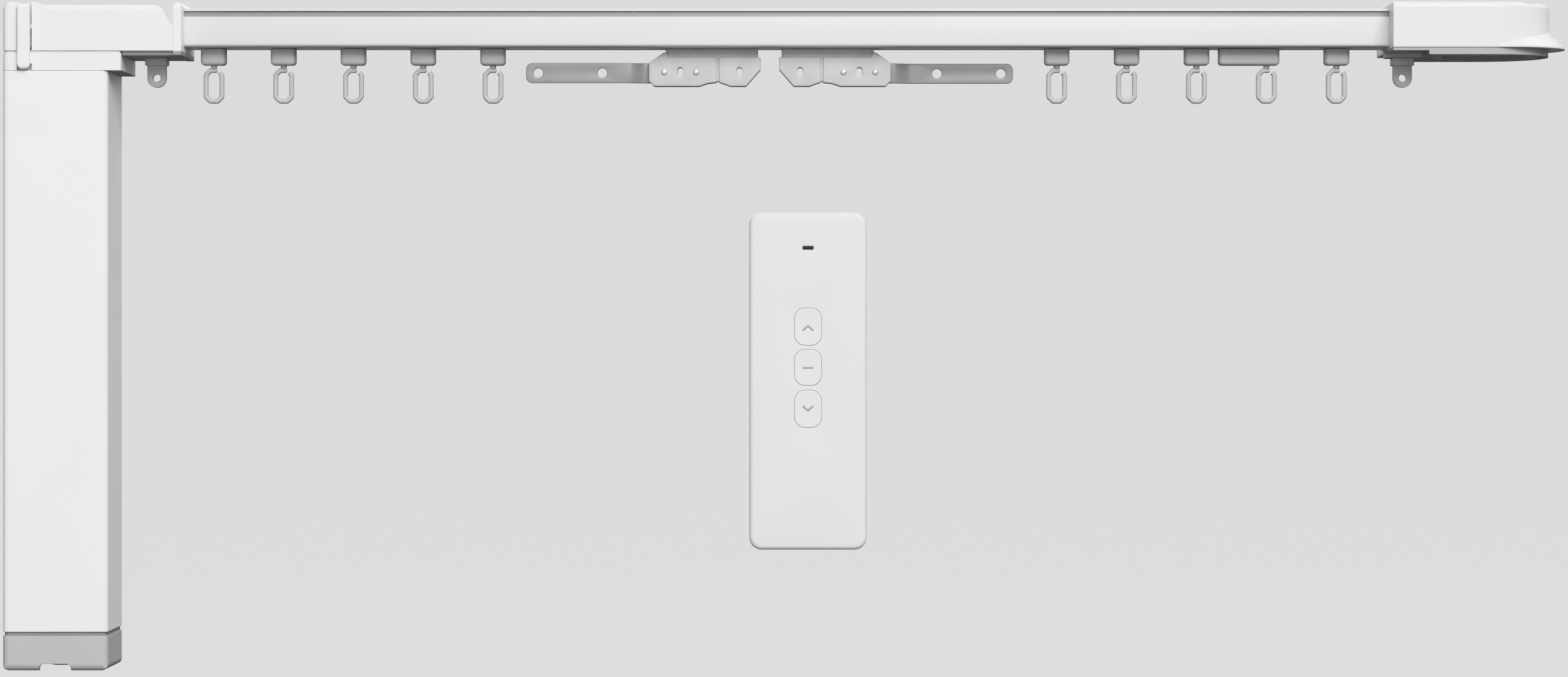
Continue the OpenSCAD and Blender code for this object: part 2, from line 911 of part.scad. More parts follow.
module motor_top_cap() {
    neck_w = motor_w - 2 * seam_groove;
    neck_d = motor_d - 2 * seam_groove;
    color("white")
        difference() {
            union() {
                translate([motor_x, 0, 0]) {
                    along_z(cap_bottom, seam_z - seam_line) {
                        round_rect(motor_w, motor_d, motor_corner_r);
                        translate([motor_w / 4 + top_lip / 2, 0])
                            round_rect(motor_w / 2 + top_lip, motor_d, 1.5);
                    }
                    along_z(seam_z - seam_line - cut, seam_z) {
                        round_rect(neck_w, neck_d, motor_corner_r - seam_groove);
                        translate([motor_w / 4 + top_lip / 2, 0])
                            round_rect(neck_w / 2 + top_lip, neck_d, 1);
                    }
                    along_z(gear_top, cap_bottom + cut)
                        spigot_outline();
                }
            }
            post(motor_x, 0, bearing_r + 2 + fit_gap, lower_bearing_z - 1 - fit_gap, seam_z + cut);
            post(motor_x, 0, shaft_r + run_gap, gear_top - cut, seam_z);
            translate([motor_x, 0, 0])
                along_z(gear_top - cut, seam_z + cut)
                    at_ports()
                        circle(screw_r + fit_gap);
            translate([motor_x, 0, 0])
                along_z(seam_z - screw_head_h - 0.3, seam_z + cut)
                    at_ports()
                        circle(screw_head_r + fit_gap);
            box(
                [latch_x - latch_w / 2 - latch_side, -motor_d / 2 - cut, hook_top - 3.2],
                [latch_x + latch_w / 2 + latch_side, -motor_d / 2 + 3, hook_top]
            );
        }
}

module motor_end_cap() {
    inset = 0.8;
    groove = 1.9;
    color("gray")
        difference() {
            union() {
                translate([motor_x, 0, 0]) {
                    intersection() {
                        along_z(motor_bottom, cap_seam - groove)
                            round_rect(motor_w, motor_d, motor_corner_r);
                        along_y(-motor_d, motor_d)
                            round_bottom(motor_w, motor_bottom, cap_seam, 3.2);
                        along_x(-motor_w, motor_w)
                            round_bottom(motor_d, motor_bottom, cap_seam, 3.2);
                    }
                    along_z(cap_seam - groove - cut, cap_seam)
                        round_rect(motor_w - 2 * inset, motor_d - 2 * inset, motor_corner_r - inset);
                    along_z(cap_seam - cut, cap_seam + spigot)
                        spigot_outline();
                }
            }
            translate([motor_x, 0, 0]) {
                along_z(motor_bottom - cut, motor_bottom + skirt_h)
                    round_rect(motor_w - 7, motor_d - 7, motor_corner_r - 2);
                along_z(motor_bottom, cap_seam + spigot + cut)
                    at_ports()
                        circle(screw_r + fit_gap);
                along_z(motor_bottom, motor_bottom + skirt_h + 2)
                    at_ports()
                        circle(screw_head_r + fit_gap);
                along_y(-motor_d, -motor_d / 4)
                    union() {
                        translate([0, motor_bottom])
                            square([cap_notch_w - 4, 6.4], center = true);
                        translate([0, motor_bottom])
                            square([cap_notch_w, 2.4], center = true);
                        for (s = [-1, 1])
                            translate([s * (cap_notch_w / 2 - 2), motor_bottom + 1.2])
                                circle(2);
                    }
            }
            post(motor_x, 0, gland_r + press_gap, motor_bottom, cap_seam + spigot + cut);
        }
}

module cable_gland() {
    base = motor_bottom + skirt_h;
    color("black")
        difference() {
            union() {
                post(motor_x, 0, gland_r, base - 1, cap_seam + spigot - 1);
                post(motor_x, 0, gland_r + 2, base - 3.4, base);
                post(motor_x, 0, gland_r + 0.8, base - 4.6, base - 3);
            }
            post(motor_x, 0, gland_bore_r, base - 10, cap_seam + spigot + cut);
        }
}

// Outline of a gear with straight-flanked teeth: half widths are shares of the tooth pitch
module gear_outline(z, tip, root, half_tip, half_root) {
    step = 360 / z;
    polygon([
        for (
            i = [0:z - 1],
            c = [[root, -half_root], [tip, -half_tip], [tip, half_tip], [root, half_root]]
        )
            c[0] * [cos((i + c[1]) * step), sin((i + c[1]) * step)]
    ]);
}

module ring_gear() {
    pr = gear_m * ring_z / 2;
    color("dimgray")
        translate([motor_x, 0, 0])
            difference() {
                along_z(can_top, gear_top)
                    circle(ring_r);
                along_z(can_top + 2, gear_top + cut)
                    gear_outline(ring_z, pr + 0.75, pr - 0.45, 0.19, 0.33);
                along_z(planet_top + 0.4, gear_top + cut)
                    circle(pr + 1.2);
                along_z(can_top - cut, gear_top)
                    circle(6);
            }
}

module planet_carrier() {
    color("silver")
        translate([motor_x, 0, 0]) {
            along_z(planet_top + 0.8, planet_top + 4)
                circle(gear_m * ring_z / 2 - 1.2);
            along_z(planet_top + 3, lower_bearing_z - 0.6)
                circle(shaft_r);
            along_z(lower_bearing_z - 1, belt_zc - 0.8)
                circle(r = (hex_af - 0.3) / sqrt(3), $fn = 6);
            for (i = [0:2])
                rotate(i * 120)
                    translate([gear_c, 0, 0])
                        along_z(planet_top - planet_h + 0.6, planet_top + 2)
                            circle(planet_pin_r);
        }
}

module rotor_shaft() {
    pr = gear_m * sun_z / 2;
    color("silver")
        translate([motor_x, 0, 0])
            union() {
                along_z(planet_top - planet_h - 0.6, planet_top)
                    gear_outline(sun_z, pr + 0.5, pr - 0.75, 0.11, 0.27);
                along_z(can_top - 12, planet_top - planet_h)
                    circle(rotor_r);
            }
}

// The i-th planet gear, with one tooth pointing outwards into a space of the ring
module planet_gear(i) {
    pr = gear_m * planet_z / 2;
    color("gold")
        translate([motor_x, 0, 0])
            rotate(i * 120)
                translate([gear_c, 0, 0])
                    difference() {
                        along_z(planet_top - planet_h, planet_top)
                            gear_outline(planet_z, pr + 0.5, pr - 0.75, 0.11, 0.27);
                        along_z(planet_top - planet_h - cut, planet_top + cut)
                            circle(planet_pin_r + run_gap);
                    }
}

module motor_can() {
    color("dimgray")
        difference() {
            union() {
                post(motor_x, 0, can_r, can_top - can_h, can_top);
                post(motor_x, 0, 5, can_top - can_h - 3, can_top);
                for (s = [-1, 1])
                    translate([motor_x + s * 10, 0, can_top - can_h - 2.5])
                        cube([0.8, 3, 6], center = true);
            }
            post(motor_x, 0, rotor_r + run_gap, can_top - 13, can_top + cut);
            translate([motor_x, 0, can_top - can_h + 8])
                difference() {
                    cylinder(r = can_r + cut, h = 1.2);
                    cylinder(r = can_r - 0.5, h = 1.2);
                }
        }
}

// Block of size w, h and t on the front of the board, its lowest left corner at x, z
module on_board(x, z, w, h, t) {
    face = board_y - board_t / 2;
    box([motor_x + x, face - t, z], [motor_x + x + w, face + board_t / 2, z + h]);
}

module control_board() {
    bottom = cap_seam + spigot;
    top = can_top - can_h - board_gap;
    half = motor_w / 2 - case_wall - fit_gap;
    color("darkgreen")
        union() {
            box([motor_x - half, board_y - board_t / 2, bottom],
                [motor_x + half, board_y + board_t / 2, top]);
            on_board(-mains_w / 2, bottom + mains_up, mains_w, mains_h, mains_t);
            on_board(-relay_w + 3, bottom + relay_up, relay_w, relay_h, relay_t);
            on_board(-chip_w / 2, top - chip_down - chip_h, chip_w, chip_h, chip_t);
            on_board(-plug_w / 2, top - plug_down - plug_h, plug_w, plug_h, plug_t);
            for (s = [-1, 1])
                translate([motor_x + s * (store_r + 4), board_y, bottom + store_up])
                    rotate([90, 0, 0])
                        cylinder(r = store_r, h = store_l);
        }
}

// Idler end

module idler_plan(inset) {
    translate([rail_half, -idler_box_d / 2 + inset])
        square([idler_reach, idler_box_d - 2 * inset]);
    translate([idler_x, 0])
        circle(drum_r - inset);
}

// Hollow drum, box and flared lip of the idler cover: the lip turns about an axis further out, so it fades
// into the drum at both sides
module idler_shell() {
    r = 2.5;
    flare_top = idler_bottom + 1.2 + flare_reach * 1.4;
    flare_sunk = 0.4;
    along_x(rail_half, idler_x)
        round_top(idler_box_d, idler_bottom, idler_rise, r);
    translate([idler_x, 0, 0])
        rotate([0, 0, -90])
            rotate_extrude(angle = 180)
                union() {
                    translate([0, idler_bottom])
                        square([drum_r, idler_rise - r - idler_bottom]);
                    translate([0, idler_bottom])
                        square([drum_r - r, idler_rise - idler_bottom]);
                    translate([drum_r - r, idler_rise - r])
                        circle(r);
                }
    translate([idler_x + flare_reach - flare_sunk, 0, 0])
        rotate_extrude()
            polygon(concat(
                [[0, idler_bottom], [0, flare_top]],
                arc([drum_r + flare_sunk, flare_top], flare_reach + flare_sunk, 180, 248, 5),
                [[drum_r + flare_sunk, idler_bottom + 0.9], [drum_r + flare_sunk, idler_bottom]]
            ));
}

module idler_cover() {
    roof = idler_rise - shell;
    color("white")
        difference() {
            union() {
                idler_shell();
                tongue(rail_half - tongue_l, rail_half + cut);
            }
            difference() {
                intersection() {
                    along_z(idler_bottom - cut, roof)
                        idler_plan(shell);
                    box(
                        [rail_half + 2.5, -drum_r, idler_bottom - 2 * cut],
                        [idler_x + drum_r, drum_r, idler_rise]
                    );
                }
                difference() {
                    union() {
                        post(idler_x, 0, axle_r + 3, upper_bearing_z, idler_rise);
                        for (p = idler_screws)
                            post(p[0], p[1], boss_r, idler_bottom + 0.05, idler_rise);
                    }
                    post(idler_x, 0, axle_r + press_gap, upper_bearing_z - cut, roof - 0.4);
                    for (p = idler_screws)
                        post(p[0], p[1], screw_r + press_gap, idler_bottom - cut, idler_bottom + 11);
                }
            }
            belt_ways(rail_half - cut, rail_half + 4);
            translate([idler_x + 18.5, drum_r * 1.5, idler_rise + 10])
                rotate([90, 0, 0])
                    cylinder(r = 11.1, h = drum_r * 3);
        }
}

module idler_base() {
    pad = 6.5;
    color("lightgray")
        difference() {
            along_z(pad_z, idler_bottom)
                idler_plan(0.5);
            for (s = [0, 1])
                mirror([0, s, 0])
                    box(
                        [rail_half - cut, pad, pad_z - cut],
                        [idler_x - drum_r + 0.5, idler_box_d, idler_bottom - 1.6]
                    );
            difference() {
                post(idler_x, 0, drum_r - 3.5, pad_z - cut, pad_z + 1);
                post(idler_x, 0, drum_r - 11, pad_z - cut, pad_z + cut);
                for (a = [20:40:340])
                    rotate_at(idler_x, a)
                        box([0, -1, pad_z - cut], [drum_r, 1, pad_z + cut]);
                for (p = idler_screws)
                    post(p[0], p[1], screw_head_r + 1.6, pad_z - cut, pad_z + cut);
            }
            post(idler_x, 0, axle_r + press_gap, pad_z + 1, idler_bottom + cut);
            for (p = idler_screws) {
                post(p[0], p[1], screw_r + fit_gap, pad_z - cut, idler_bottom + cut);
                post(p[0], p[1], screw_head_r + fit_gap, pad_z - cut, pad_z + screw_head_h + 0.3);
            }
            hook_slot(rail_half + hook_in_right);
        }
}

// Children turned about the upright axis at x
module rotate_at(x, a) {
    translate([x, 0, 0])
        rotate(a)
            children();
}

module idler_axle() {
    color("silver")
        post(idler_x, 0, axle_r, pad_z + 1.1, idler_rise - shell - 0.5);
}

// Hooks and screws

module hook_slot(x) {
    w = peg_w / 2 + fit_gap;
    t = hook_t / 2 + fit_gap;
    box([x - w, -t, pad_z - cut], [x + w, t, pad_z + peg_h + 0.2]);
}

module end_hook(x) {
    end_z = pad_z - hook_len + hook_w / 2;
    difference() {
        union() {
            box([x - peg_w / 2, -hook_t / 2, pad_z - cut], [x + peg_w / 2, hook_t / 2, pad_z + peg_h]);
            box([x - hook_block_w / 2, -hook_block_d / 2, pad_z - hook_block],
                [x + hook_block_w / 2, hook_block_d / 2, pad_z]);
            box([x - hook_w / 2, -hook_t / 2, end_z], [x + hook_w / 2, hook_t / 2, pad_z - 1]);
            pin_y(x, end_z, hook_w / 2, -hook_t / 2, hook_t / 2);
        }
        pin_y(x, end_z, hook_hole_r, -hook_t, hook_t);
    }
}

module end_hooks() {
    color("gray")
        for (x = [-rail_half - hook_in_left, rail_half + hook_in_right])
            end_hook(x);
}

// Screw with its head below level z, its shank up and a cross recess
module screw_up(x, y, z, l) {
    difference() {
        union() {
            post(x, y, screw_head_r, z - screw_head_h, z);
            post(x, y, screw_r, z - cut, z + l);
        }
        for (a = [0, 90])
            translate([x, y, z - screw_head_h])
                rotate(a)
                    cube([3, 0.8, 1.6], center = true);
    }
}

module cover_screws() {
    port_x = motor_w / 2 - port_in;
    port_y = motor_d / 2 - port_in;
    color("silver") {
        for (p = [head_screws[2], head_screws[3]])
            screw_up(p[0], p[1], pad_z + screw_head_h + 0.3, seam_z + 10 - pad_z - screw_head_h);
        for (p = [head_screws[0], head_screws[1]])
            screw_up(p[0], p[1], seam_z + screw_head_h + sunk, 9);
        for (p = idler_screws)
            screw_up(p[0], p[1], pad_z + screw_head_h + 0.3, idler_bottom + 10 - pad_z - screw_head_h);
        for (x = [-1, 1], y = [-1, 1]) {
            screw_up(motor_x + x * port_x, y * port_y, motor_bottom + skirt_h + 2, end_cap_h);
            translate([motor_x + x * port_x, y * port_y, 2 * seam_z])
                mirror([0, 0, 1])
                    screw_up(0, 0, seam_z + screw_head_h + 0.3, top_cap_h + 8);
        }
    }
}

// Master carriers, drawn with the nose at x = 0 and the arm towards -X

module at_left_carrier() {
    translate([meet_x - carrier_gap / 2, 0, 0])
        children();
}

module at_right_carrier() {
    translate([meet_x + carrier_gap / 2, 0, 0])
        rotate(180)
            children();
}

// Front outline of the lower body: nose block, arched underside and outer block
module body_outline() {
    difference() {
        polygon([
            [0, body_mid], [0, body_bottom + 8], [-7, body_bottom], [-body_len + 2.5, body_bottom],
            [-body_len, body_bottom + 2.5], [-body_len, body_mid - 2.8], [-body_len + 7, body_top],
            [-body_len + 9, body_top], [-body_len + 9, body_mid]
        ]);
        translate([-split - 1.5, body_bottom - 14])
            circle(16);
    }
}

module carrier_body() {
    y = body_t / 2;
    color("lightgray")
        difference() {
            union() {
                along_y(-y, y)
                    body_outline();
                box([-body_len + 8, -3.6, body_mid - cut], [-1.2, 3.6, neck_top]);
                box([-body_len + 8, -web_half, neck_top - cut], [-1.2, web_half, carriage_top]);
                box([clip_x - clip_w / 2, -belt_in_r + move_gap, upstand_z + 0.4],
                    [clip_x + clip_w / 2, 0, carriage_top]);
                box([clip_x - clip_w / 2, -belt_out_r - move_gap, belt_top + move_gap],
                    [clip_x + clip_w / 2, 0, carriage_top]);
            }
            box([-body_len - cut, -arm_t / 2 - fit_gap, arm_z - fit_gap],
                [-arm_in + fit_gap, arm_t / 2 + fit_gap, arm_z + arm_h + fit_gap]);
            for (x = rivet_xs)
                pin_y(x, dot_z, rivet_r + press_gap, -body_t, body_t);
            for (x = [-nose_oval, -outer_oval])
                translate([x, 0, dot_z])
                    along_y(-body_t, body_t)
                        oval(oval_w, oval_h);
            for (s = [-1, 1])
                translate([-split, s * y, 0])
                    cube([1.1, 1.4, 100], center = true);
            for (x = wheel_xs)
                pin_y(x, axle_z, 1.2 + run_gap, -body_t, body_t);
        }
}

// Steel arm with a joggle, its two curtain holes and its rivets
module carrier_arm() {
    h = arm_t / 2;
    mid = arm_z + arm_h / 2;
    color("silver")
        difference() {
            intersection() {
                along_z(arm_z, arm_z + arm_h)
                    polygon([
                        [-arm_in, -h], [-arm_in, h], [-joggle_start, h], [-joggle_end, h - arm_shift],
                        [-arm_len, h - arm_shift], [-arm_len, -h - arm_shift],
                        [-joggle_end, -h - arm_shift], [-joggle_start, -h]
                    ]);
                translate([-(arm_len + arm_in) / 2, 0, mid])
                    along_y(-body_t, body_t)
                        round_rect(arm_len - arm_in, arm_h, arm_corner_r);
            }
            for (x = [tip_hole, mid_hole])
                pin_y(x - arm_len, mid, arm_hole_r, -body_t, body_t);
            for (x = rivet_xs)
                pin_y(x, dot_z, rivet_r + press_gap, -body_t, body_t);
            translate([-outer_oval, 0, dot_z])
                along_y(-body_t, body_t)
                    oval(oval_w + 0.6, oval_h + 0.6);
        }
    color("gray")
        for (x = rivet_xs) {
            pin_y(x, dot_z, rivet_r, -body_t / 2 - 0.5, body_t / 2 + 0.5);
            for (s = [-1, 1])
                pin_y(x, dot_z, rivet_r + 0.6, s * (body_t / 2 + 0.4) - 0.4, s * (body_t / 2 + 0.4) + 0.4);
        }
}

// Wheelset: two wheels fixed on one axle, x from the carrier's nose
module wheelset(x) {
    color("white")
        union() {
            pin_y(x, axle_z, 1.2, -rib_in + 0.9, rib_in - 0.9);
            for (s = [0, 1])
                mirror([0, s, 0]) {
                    pin_y(x, axle_z, 2, web_half + move_gap, rib_in - 1);
                    pin_y(x, axle_z, wheel_r, slot_w / 2 + 0.5, rib_in - 0.7);
                }
        }
}

// Runners, drawn at x = 0

// Glider with a shoe inside the rail, longer by extra on its left
module runner_glider(extra) {
    w = runner_w / 2;
    color("lightgray")
        difference() {
            union() {
                box([-w + 0.5, -rib_in + 0.5, floor_z + move_gap], [w - 0.5, rib_in - 0.5, floor_z + 3.3]);
                box([-w + 1.5, -web_half + 0.2, neck_top - cut], [w - 1.5, web_half - 0.2, floor_z + 3]);
                along_y(-block_t / 2, block_t / 2)
                    polygon([
                        [-w - extra, neck_top], [w, neck_top],
                        [w, block_bottom + 2.4], [w - 2, block_bottom],
                        [-w + (extra > 0 ? -extra : 2), block_bottom], [-w - extra, block_bottom + 2.4]
                    ]);
            }
            post(0, 0, stem_r + move_gap, block_bottom - cut, neck_top - 3);
            post(0, 0, stem_head_r + move_gap, block_bottom + 3.2, block_bottom + 5.8);
        }
}

// Swivel eye: a stem with a head, an upright loop and a slit in the loop's shoulder
module runner_eye() {
    mid = (eye_top + eye_bottom) / 2;
    color("lightgray")
        difference() {
            union() {
                translate([0, 0, mid])
                    along_y(-eye_bar / 2 - 0.1, eye_bar / 2 + 0.1)
                        oval(eye_w, eye_top - eye_bottom);
                post(0, 0, stem_r, eye_top - 1.2, block_bottom + 5);
                post(0, 0, stem_head_r, block_bottom + 3.5, block_bottom + 5.5);
            }
            translate([0, 0, eye_hole_top - eye_hole_h / 2])
                along_y(-5, 5)
                    oval(eye_w - 2 * eye_bar, eye_hole_h);
            translate([stem_r + 0.6, 0, eye_top - eye_bar + 0.2])
                rotate([0, 25, 0])
                    cube([1.1, 10, 5], center = true);
        }
}

// Remote, drawn flat with its back on z = 0 and its face up

module at_remote() {
    translate([remote_x, remote_back, remote_z])
        rotate([90, 0, 0])
            children();
}

module remote_back() {
    color("whitesmoke")
        at_remote()
            difference() {
                along_z(0, tray_t)
                    round_rect(remote_w, remote_h, remote_r);
                along_z(remote_wall, tray_t + cut)
                    difference() {
                        round_rect(
                            remote_w - 2 * remote_wall, remote_h - 2 * remote_wall, remote_r - remote_wall
                        );
                        for (p = remote_screws)
                            translate(p)
                                circle(3);
                    }
                for (p = remote_screws)
                    post(p[0], p[1], 1.2, remote_wall, tray_t + cut);
                translate([0, door_rise - remote_top, 0])
                    difference() {
                        along_z(-cut, 0.5)
                            round_rect(remote_w - 2 * door_side, door_h, 3);
                        along_z(-2 * cut, cut)
                            round_rect(remote_w - 2 * door_side - 1, door_h - 1, 2.5);
                    }
            }
}

// Outline of the i-th button, larger by grow all round
module button_outline(i, grow) {
    translate([0, button_mid[i]])
        round_rect(button_w + 2 * grow, button_h[i] + 2 * grow, 5 + grow);
}

module remote_front() {
    color("white")
        at_remote()
            difference() {
                intersection() {
                    along_z(tray_t, remote_t)
                        round_rect(remote_w, remote_h, remote_r);
                    along_x(-remote_w, remote_w)
                        round_top(remote_h, 0, remote_t, 1.2);
                    along_y(-remote_h, remote_h)
                        round_top(remote_w, 0, remote_t, 1.2);
                }
                along_z(tray_t - cut, remote_t - remote_wall)
                    difference() {
                        round_rect(
                            remote_w - 2 * remote_wall, remote_h - 2 * remote_wall, remote_r - remote_wall
                        );
                        for (p = remote_screws)
                            translate(p)
                                circle(3);
                    }
                along_z(tray_t, remote_t + cut)
                    for (i = [0:2])
                        button_outline(i, button_gap);
                along_z(tray_t, remote_t + cut)
                    translate([0, lens_y])
                        square([lens_w, lens_h], center = true);
            }
}

module remote_button(i) {
    color("white")
        at_remote()
            union() {
                along_z(remote_t - remote_wall - 1.2, remote_t + 0.2)
                    button_outline(i, 0);
                along_z(remote_t - remote_wall - 1.4, remote_t - remote_wall - 0.4)
                    button_outline(i, button_flange);
                post(0, button_mid[i], 1.6, tray_t + 0.2, remote_t - remote_wall);
            }
}

module remote_board() {
    edge = remote_wall + fit_gap;
    color("darkgreen")
        at_remote()
            difference() {
                union() {
                    along_z(tray_t - 3.8, tray_t - 2.4)
                        round_rect(remote_w - 2 * edge, remote_h - 2 * edge, remote_r - remote_wall);
                    for (i = [0:2])
                        translate([0, button_mid[i], tray_t - 2])
                            cube([5, 5, 2], center = true);
                    for (i = [0:2])
                        post(0, button_mid[i], 1.4, tray_t - 2, tray_t - 0.9);
                    post(0, cell_rise - remote_top, cell_r, tray_t - 2.6, tray_t + 0.6);
                    for (x = [-1, 1], y = [-1, 1])
                        post(
                            x * (remote_w / 2 - 12.4), y * (remote_top - leg_in), 2, remote_wall, tray_t - 3
                        );
                    post(0, lens_y, 1.5, tray_t - 3, tray_t - 1);
                }
                for (p = remote_screws)
                    post(p[0], p[1], 3 + fit_gap, 0, tray_t + cut);
            }
}

module remote_indicator() {
    color("black")
        at_remote()
            union() {
                along_z(tray_t - 1, remote_t - 0.2)
                    translate([0, lens_y])
                        square([lens_w - 2 * press_gap, lens_h - 2 * press_gap], center = true);
                along_z(tray_t - 1, remote_t - remote_wall - press_gap)
                    translate([0, lens_y])
                        square([lens_w + 2, lens_h + 2], center = true);
            }
}

// Nodes

rail();
head_cover();
head_base();
motor_case();
motor_top_cap();
motor_end_cap();
motor_can();
ring_gear();
control_board();
cable_gland();
belt();
pulley_bearings();
idler_cover();
idler_base();
idler_axle();
end_hooks();
cover_screws();
motor_latch();
drive_pulley();
planet_carrier();
rotor_shaft();
planet_gear(0);  // planet_gear_1
planet_gear(1);  // planet_gear_2
planet_gear(2);  // planet_gear_3
idler_pulley();
at_left_carrier() carrier_body();  // carrier_left_body
at_left_carrier() carrier_arm();  // carrier_left_arm
at_left_carrier() wheelset(wheel_xs[0]);  // carrier_left_wheels_1
at_left_carrier() wheelset(wheel_xs[1]);  // carrier_left_wheels_2
at_right_carrier() carrier_body();  // carrier_right_body
at_right_carrier() carrier_arm();  // carrier_right_arm
at_right_carrier() wheelset(wheel_xs[0]);  // carrier_right_wheels_1
at_right_carrier() wheelset(wheel_xs[1]);  // carrier_right_wheels_2
remote_back();
remote_front();
remote_board();
remote_indicator();
remote_button(0);  // button_up
remote_button(1);  // button_stop
remote_button(2);  // button_down
for (k = [1:runner_count]) {
    xl = runner_at(left_first, left_last, k, 0);
    xr = runner_at(right_first, right_last, k, right_extra);
    extra = k == long_runner ? long_block : 0;
    translate([xl, 0, 0]) runner_glider(0);
    translate([xl, 0, 0]) runner_eye();
    translate([xr, 0, 0]) runner_glider(extra);
    translate([xr, 0, 0]) runner_eye();
}
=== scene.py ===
# %% [markdown]
# # A motorised curtain track
#
# The CAD model holds every piece of the track at its true size: the rail, the motor, the gears, the
# carriers and runners, and the hand-held remote. This lesson dresses that model for the camera. Pieces
# whose moulded form matters are built again as smooth surfaces, and every other piece gets a finish.

# %% Load the frame
import bpy
import numpy as np
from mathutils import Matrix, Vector
from mathutils.geometry import delaunay_2d_cdt


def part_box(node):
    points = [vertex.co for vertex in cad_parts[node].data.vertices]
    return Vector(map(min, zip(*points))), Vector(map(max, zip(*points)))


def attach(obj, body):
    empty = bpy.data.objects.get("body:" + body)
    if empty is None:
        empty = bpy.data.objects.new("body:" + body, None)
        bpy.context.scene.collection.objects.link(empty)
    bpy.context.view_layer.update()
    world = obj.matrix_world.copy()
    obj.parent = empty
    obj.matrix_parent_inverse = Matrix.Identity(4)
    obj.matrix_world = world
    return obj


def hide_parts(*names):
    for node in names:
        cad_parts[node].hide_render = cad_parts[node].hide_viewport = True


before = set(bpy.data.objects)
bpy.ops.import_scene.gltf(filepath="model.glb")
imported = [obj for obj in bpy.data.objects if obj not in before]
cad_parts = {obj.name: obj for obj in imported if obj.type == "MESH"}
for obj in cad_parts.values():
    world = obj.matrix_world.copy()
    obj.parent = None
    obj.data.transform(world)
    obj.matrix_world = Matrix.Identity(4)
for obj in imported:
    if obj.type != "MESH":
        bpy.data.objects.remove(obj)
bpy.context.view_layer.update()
MM = 0.001

# %% [markdown]
# ## The camera
#
# The photograph is taken square on, from a little over two metres, with the lens level with the middle of
# the motor. A long lens keeps the perspective gentle: the motor's inner side shows as a narrow strip, and
# so does the underside of the rail. The picture is 2576 by 1112 pixels, so the sensor is fitted sideways.

# %% Camera
EYE_MM = (-1.2, -2199.0, -157.3)
LENS_MM, SENSOR_MM = 105.1, 36.0
camera_data = bpy.data.cameras.new("camera")
camera_data.sensor_fit = "HORIZONTAL"
camera_data.sensor_width = SENSOR_MM
camera_data.lens = LENS_MM
camera = bpy.data.objects.new("camera", camera_data)
camera.location = [c * MM for c in EYE_MM]
camera.rotation_euler = (np.pi / 2, 0, 0)
bpy.context.scene.collection.objects.link(camera)
bpy.context.scene.camera = camera
print("camera at", tuple(camera.location), "lens", camera_data.lens)

# %% [markdown]
# ## Shells from outlines
#
# Nearly every moulding here is a flat drawing with a depth and soft edges. So one idea makes most of them:
# an outline is carried through a stack of levels, and at each level it is drawn in a little, as a quarter
# circle asks. The two end faces are filled with triangles, which also leaves holes open. All of it is
# worked out on whole arrays, so a piece is one grid of points and not a chain of operators.

# %% Outlines
TINY = 1e-12
SAME_POINT = 1e-7
LEAST_STRAIGHT = 1e-4
LEAST_COSINE = 0.5


def fillet(corners, radius, steps=6):
    """Closed outline with round corners. On each corner the tangent points lie radius / tan(half angle)
    along its two edges, the centre lies radius / sin(half angle) along the bisector, and the arc between
    the tangent points is spread evenly in angle."""
    p = np.asarray(corners, float)
    r = np.broadcast_to(np.asarray(radius, float), (len(p),))
    back = np.roll(p, 1, 0) - p
    ahead = np.roll(p, -1, 0) - p
    back /= np.linalg.norm(back, axis=1, keepdims=True)
    ahead /= np.linalg.norm(ahead, axis=1, keepdims=True)
    half = np.arccos(np.clip((back * ahead).sum(1), -1, 1)) / 2
    middle = back + ahead
    middle /= np.linalg.norm(middle, axis=1, keepdims=True)
    centre = p + middle * (r / np.sin(half))[:, None]
    first = p + back * (r / np.tan(half))[:, None] - centre
    last = p + ahead * (r / np.tan(half))[:, None] - centre
    start = np.arctan2(first[:, 1], first[:, 0])
    turn = (np.arctan2(last[:, 1], last[:, 0]) - start + np.pi) % (2 * np.pi) - np.pi
    angle = start[:, None] + turn[:, None] * np.linspace(0, 1, steps)
    ring = np.stack([np.cos(angle), np.sin(angle)], -1)
    return (centre[:, None] + r[:, None, None] * ring).reshape(-1, 2)


def rectangle(x0, x1, z0, z1):
    """Corners of a rectangle, anticlockwise."""
    return np.array([[x0, z0], [x1, z0], [x1, z1], [x0, z1]], float)


def oval(x, z, width, height, steps=16):
    """Slot with round ends about x, z: two half circles, moved apart by height - width. Anticlockwise."""
    angle = np.linspace(0, np.pi, steps)
    bow = width / 2 * np.stack([np.cos(angle), np.sin(angle)], -1)
    lift = np.array([0, max(height - width, LEAST_STRAIGHT) / 2])
    return np.concatenate([bow + lift, -bow - lift]) + (x, z)


def hole(outline):
    """The same outline run clockwise, which makes it the rim of a hole."""
    return outline[::-1]


def inset(outline, by):
    """Outline moved inwards: each point slides along the mean of its two edge normals, by the distance
    divided by the cosine of half the turn. A clockwise rim moves the other way, so its hole widens."""
    edge = np.roll(outline, -1, 0) - outline
    edge /= np.maximum(np.linalg.norm(edge, axis=1, keepdims=True), TINY)
    normal = np.stack([-edge[:, 1], edge[:, 0]], -1)
    mean = normal + np.roll(normal, 1, 0)
    mean /= np.linalg.norm(mean, axis=1, keepdims=True)
    return outline + by * mean / np.maximum((mean * normal).sum(1), LEAST_COSINE)[:, None]


print("outline helpers ready; a filleted square has", len(fillet(rectangle(0, 1, 0, 1), 0.2)), "points")

# %% [markdown]
# A face with holes has to be cut into triangles that leave the holes open. Blender's constrained Delaunay
# triangulation keeps every rim as an edge. Afterwards the even-odd rule drops the triangles that fall
# outside: a triangle stays if a ray from its centre crosses the rims an odd number of times.

